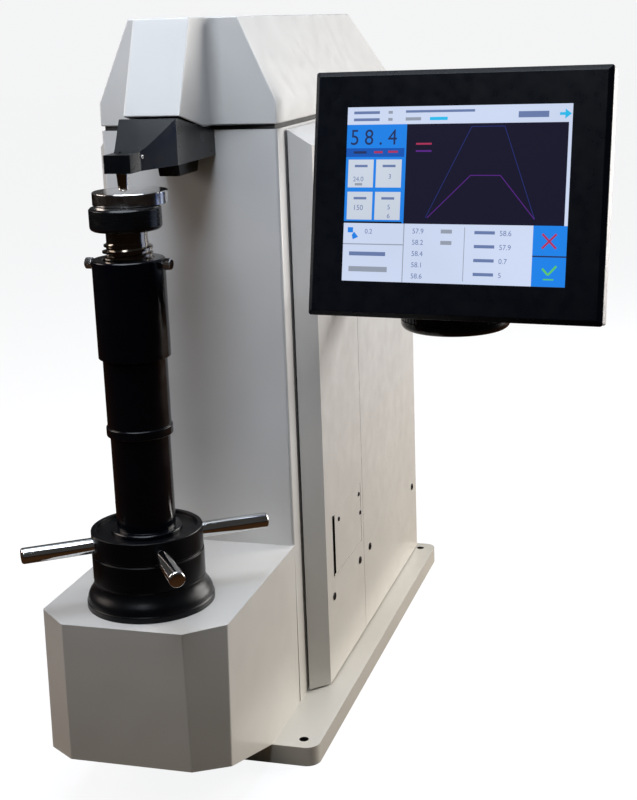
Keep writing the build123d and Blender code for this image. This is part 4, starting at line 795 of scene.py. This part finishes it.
# ---------------------------------------------------------------- loading lever and drive
# Inside the hood and column: an iron lever on ball bearings, pushed up at its rear by a load cell
# on a ball screw, which a belt drives from the stepping motor.
iron = metal("Machined iron", (0.16, 0.16, 0.165), (0.24, 0.24, 0.245), 0.45, (1, 8, 1),
             metallic=0.9)
refinish(iron, "loading_lever", "bearing_blocks")
aluminium = metal("Machined aluminium", (0.62, 0.62, 0.63), (0.72, 0.72, 0.73), 0.32, (8, 1, 1))
refinish(aluminium, "drive_plate", "motor", "load_cell")

# ---------------------------------------------------------------- electrics and rear panel
# A folded rear panel closes the column, with a row of vents and the mains inlet, rocker switch and
# data port low down. Inside are a green control board and a boxed power supply.
panel = softened(copied("rear_panel", "vented_rear_panel"), 0.3, 2)
dress(panel, sheet_enamel, "frame", "body_paint", "rear_panel")
board_green = moulded("Board laminate", (0.01, 0.09, 0.04), (0.02, 0.16, 0.07), 0.4, 0.00005, 300)
refinish(board_green, "control_board")
case_steel = metal("Folded case steel", (0.5, 0.5, 0.5), (0.6, 0.6, 0.6), 0.38, (1, 10, 1))
refinish(case_steel, "power_supply")
black_plastic = moulded("Black plastic", (0.0022, 0.0026, 0.0034), (0.0032, 0.0036, 0.0046),
                        0.22, 0.000008, shine=0.4)
for node, body in (("rear_sockets", "frame"), ("power_switch", "power_rocker")):
    socket = softened(copied(node, "moulded_" + node), 0.4, 2)
    dress(socket, black_plastic, body, "black_plastic", node)

# ---------------------------------------------------------------- display arm and swivel head
# A flat steel arm bolted through the right front cover carries the screen. Its round pad takes a
# swivel disc with a knurled rim and a fork, and the screen's bracket tilts on a pin in the fork.
arm = softened(copied("display_arm", "enamelled_arm"), 0.8)
dress(arm, black_enamel, "frame", "black_enamel", "display_arm")
swivel = softened(copied("swivel_head", "knurled_swivel_head"), 0.25, 2)
dress(swivel, black_enamel, "swivel", "black_enamel", "swivel_head")
bracket = softened(copied("tilt_bracket", "tilt_bracket_enamelled"), 0.6, 2)
dress(bracket, black_enamel, "display", "black_enamel", "tilt_bracket")
arm_places = [((cover_face + 5.5, axis_y + along, height), (1, 0, 0))
              for along in (275, 309) for height in (407, 424)]
screws("arm_bolt_heads", arm_places, 4.2, 3, 2, black_screw, "fastener_steel")

# ---------------------------------------------------------------- touch screen housing
# The screen is moulded: a black bezel with a broad mitred bevel round the picture, clipped to a
# light grey back shell that bulges over the electronics.
bezel = softened(copied("display_bezel", "bevelled_bezel"), 0.35, 2, 20)
bezel_plastic = moulded("Satin bezel plastic", (0.0020, 0.0028, 0.0050),
                        (0.0026, 0.0035, 0.0060), 0.30, 0.000004, shine=0.16)
dress(bezel, bezel_plastic, "display", "black_plastic", "display_bezel")
grey_plastic = moulded("Light grey plastic", (0.32, 0.31, 0.34), (0.37, 0.36, 0.39), 0.42, 0.00003)
shell = softened(copied("display_shell", "moulded_back_shell"), 0.8)
dress(shell, grey_plastic, "display", "light_plastic", "display_shell")
glass = moulded("Dark screen glass", (0.006, 0.007, 0.012), (0.009, 0.01, 0.016), 0.1, 0.000001)
refinish(glass, "touch_glass", "lcd_panel")

# ---------------------------------------------------------------- lit picture
# What the screen shows in use: a big reading, four setting tiles, the load curve, rows of results
# and two keys. Each patch is a thin lit plate on the glass, with plain numbers and blank bars.
picture_width = 204.9
picture_height = 153.6
yaw, lean, roll = radians(-8.21), radians(11.45), radians(0.69)
to_right = Vector((cos(yaw), sin(yaw), 0))
outward = Vector((sin(yaw) * cos(lean), -cos(yaw) * cos(lean), sin(lean)))
tilt_frame = Matrix((to_right, outward.cross(to_right), outward)).transposed().to_4x4()
tilt_pivot = Vector((236, -138, 456))
tilt_frame.translation = tilt_pivot * mm
screen_offset = Vector((20.7, 53.9, 70.3)) * mm
screen = tilt_frame @ Matrix.Translation(screen_offset) @ Matrix.Rotation(roll, 4, "Z")
glass_front = -1.0
layer_step = 0.03

inks = {
    "pale": (0.62, 0.70, 0.90),
    "paper": (0.60, 0.66, 0.76),
    "blue": (0.01, 0.22, 0.80),
    "deep_blue": (0.005, 0.09, 0.45),
    "navy": (0.004, 0.003, 0.018),
    "ink": (0.015, 0.03, 0.11),
    "faint": (0.14, 0.20, 0.40),
    "grey": (0.30, 0.34, 0.42),
    "cyan": (0.02, 0.50, 0.85),
    "red": (0.42, 0.03, 0.10),
    "green": (0.10, 0.55, 0.14),
    "curve_blue": (0.015, 0.025, 0.17),
    "curve_violet": (0.10, 0.015, 0.24),
}
ink_names = list(inks)


def lit(name, colour):
    """A lit patch of the display, a little uneven as a backlight is."""
    ink = bpy.data.materials.new("Lit " + name.replace("_", " "))
    ink.use_nodes = True
    tree = ink.node_tree
    shader = tree.nodes["Principled BSDF"]
    shader.inputs["Base Color"].default_value = (0.01, 0.01, 0.012, 1)
    shader.inputs["Roughness"].default_value = 0.12
    shader.inputs["Emission Strength"].default_value = 1.0
    dimmer = tuple(0.93 * part for part in colour)
    tree.links.new(tones(tree, speckle(tree, 12), dimmer, colour), shader.inputs["Emission Color"])
    return ink


picture = bmesh.new()


def spot(u, v, layer):
    """A point of the picture: u across and v down, both from 0 to 1, on a numbered layer."""
    return Vector(((u - 0.5) * picture_width, (0.5 - v) * picture_height,
                   glass_front + layer_step + layer_step * layer)) * mm


def patch(ink, corners, layer=0):
    """A flat patch with the given corners, anticlockwise as seen."""
    face = picture.faces.new([picture.verts.new(screen @ spot(u, v, layer)) for u, v in corners])
    face.material_index = ink_names.index(ink)


def tile(ink, left, top, right, bottom, layer=0):
    """A rectangular patch."""
    patch(ink, [(left, bottom), (right, bottom), (right, top), (left, top)], layer)


def line(ink, points, weight, layer):
    """A thin line through points, its weight in millimetres."""
    for (u0, v0), (u1, v1) in zip(points, points[1:]):
        along = Vector(((u1 - u0) * picture_width, (v0 - v1) * picture_height)).normalized()
        aside = Vector((-along.y, along.x)) * weight / 2
        du, dv = aside.x / picture_width, -aside.y / picture_height
        patch(ink, [(u0 - du, v0 - dv), (u1 - du, v1 - dv), (u1 + du, v1 + dv),
                    (u0 + du, v0 + dv)], layer)


digit_share = 0.7


def number(ink, text, left, base, height, layer=2, stretch=1.0, spacing=1.0):
    """A plain number, its foot at base and its height in millimetres."""
    writing = bpy.data.curves.new("Number", "FONT")
    writing.body = text
    writing.size = height / digit_share * mm
    writing.space_character = spacing
    writer = bpy.data.objects.new("Number", writing)
    scene.collection.objects.link(writer)
    ready = bpy.context.evaluated_depsgraph_get()
    strokes = bpy.data.meshes.new_from_object(writer.evaluated_get(ready))
    bpy.data.objects.remove(writer)
    strokes.transform(screen @ Matrix.Translation(spot(left, base, layer))
                      @ Matrix.Scale(stretch, 4, (1, 0, 0)))
    first = len(picture.faces)
    picture.from_mesh(strokes)
    picture.faces.ensure_lookup_table()
    for face in picture.faces[first:]:
        face.material_index = ink_names.index(ink)


tile("pale", 0, 0, 1, 0.1)
for row in (0.024, 0.064):
    tile("faint", 0.03, row, 0.15, row + 0.016, 1)
    tile("grey", 0.19, row, 0.21, row + 0.016, 1)
tile("faint", 0.27, 0.022, 0.58, 0.036, 1)
tile("grey", 0.27, 0.062, 0.34, 0.08, 1)
tile("cyan", 0.38, 0.062, 0.46, 0.08, 1)
tile("faint", 0.77, 0.038, 0.90, 0.072, 1)
patch("cyan", [(0.945, 0.047), (0.945, 0.062), (0.972, 0.062), (0.972, 0.047)], 1)
patch("cyan", [(0.968, 0.028), (0.968, 0.082), (0.995, 0.055)], 1)

tile("blue", 0, 0.1, 0.27, 0.285)
number("ink", "58.4", 0.015, 0.215, 13.5, 2, 0.95, 1.5)
tile("deep_blue", 0, 0.235, 0.27, 0.285, 1)
tile("ink", 0.035, 0.252, 0.095, 0.266, 2)
tile("red", 0.13, 0.252, 0.17, 0.264, 2)
tile("red", 0.195, 0.250, 0.24, 0.262, 2)

tile("blue", 0, 0.285, 0.27, 0.655)
for column in (0.012, 0.142):
    for row in (0.3, 0.485):
        tile("paper", column, row, column + 0.118, row + 0.16, 1)
        tile("faint", column + 0.03, row + 0.03, column + 0.09, row + 0.044, 2)
tile("grey", 0.045, 0.435, 0.08, 0.449, 2)
for setting, left, base, height in (
        ("24.0", 0.035, 0.425, 4.2), ("3", 0.2, 0.41, 4.2), ("150", 0.04, 0.59, 4.6),
        ("5", 0.2, 0.585, 4.2), ("6", 0.2, 0.635, 4.2)):
    number("faint", setting, left, base, height)

tile("navy", 0.27, 0.1, 1, 0.665)
tile("pale", 0.985, 0.1, 1, 0.665, 1)
tile("blue", 0.27, 0.1, 0.278, 0.665, 1)
line("curve_blue", [(0.377, 0.63), (0.569, 0.118), (0.713, 0.118), (0.858, 0.63)], 0.6, 1)
line("curve_violet", [(0.385, 0.63), (0.572, 0.39), (0.703, 0.39), (0.857, 0.63)], 0.7, 2)
tile("red", 0.322, 0.207, 0.393, 0.217, 1)
tile("curve_violet", 0.322, 0.248, 0.393, 0.258, 1)

tile("pale", 0, 0.665, 0.855, 1)
tile("grey", 0, 0.783, 0.28, 0.789, 1)
tile("grey", 0.28, 0.665, 0.284, 1, 1)
tile("grey", 0.555, 0.68, 0.558, 0.985, 1)
patch("blue", [(0.02, 0.72), (0.045, 0.72), (0.045, 0.69), (0.02, 0.69)], 1)
patch("blue", [(0.045, 0.76), (0.07, 0.745), (0.05, 0.715), (0.04, 0.735)], 1)
number("faint", "0.2", 0.10, 0.725, 4.2)
tile("faint", 0.03, 0.83, 0.20, 0.853, 1)
tile("grey", 0.03, 0.915, 0.21, 0.945, 1)
for row, reading in enumerate(("57.9", "58.2", "58.4", "58.1", "58.6")):
    number("faint", reading, 0.32, 0.72 + 0.064 * row, 4.4)
    if row < 2:
        tile("grey", 0.45, 0.695 + 0.064 * row, 0.50, 0.717 + 0.064 * row, 1)
for row, reading in enumerate(("58.6", "57.9", "0.7", "5")):
    tile("faint", 0.60, 0.70 + 0.078 * row, 0.69, 0.718 + 0.078 * row, 1)
    number("faint", reading, 0.71, 0.725 + 0.078 * row, 4.4)

tile("blue", 0.855, 0.665, 1, 1)
tile("ink", 0.855, 0.83, 1, 0.838, 1)
line("red", [(0.895, 0.71), (0.955, 0.79)], 1.8, 2)
line("red", [(0.955, 0.71), (0.895, 0.79)], 1.8, 2)
line("green", [(0.90, 0.90), (0.925, 0.935), (0.96, 0.885)], 1.9, 2)
line("green", [(0.905, 0.96), (0.95, 0.96)], 1.2, 2)

screen_picture = kept(picture, "screen_picture")
for name in ink_names:
    screen_picture.data.materials.append(lit(name, inks[name]))
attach(screen_picture, "display")
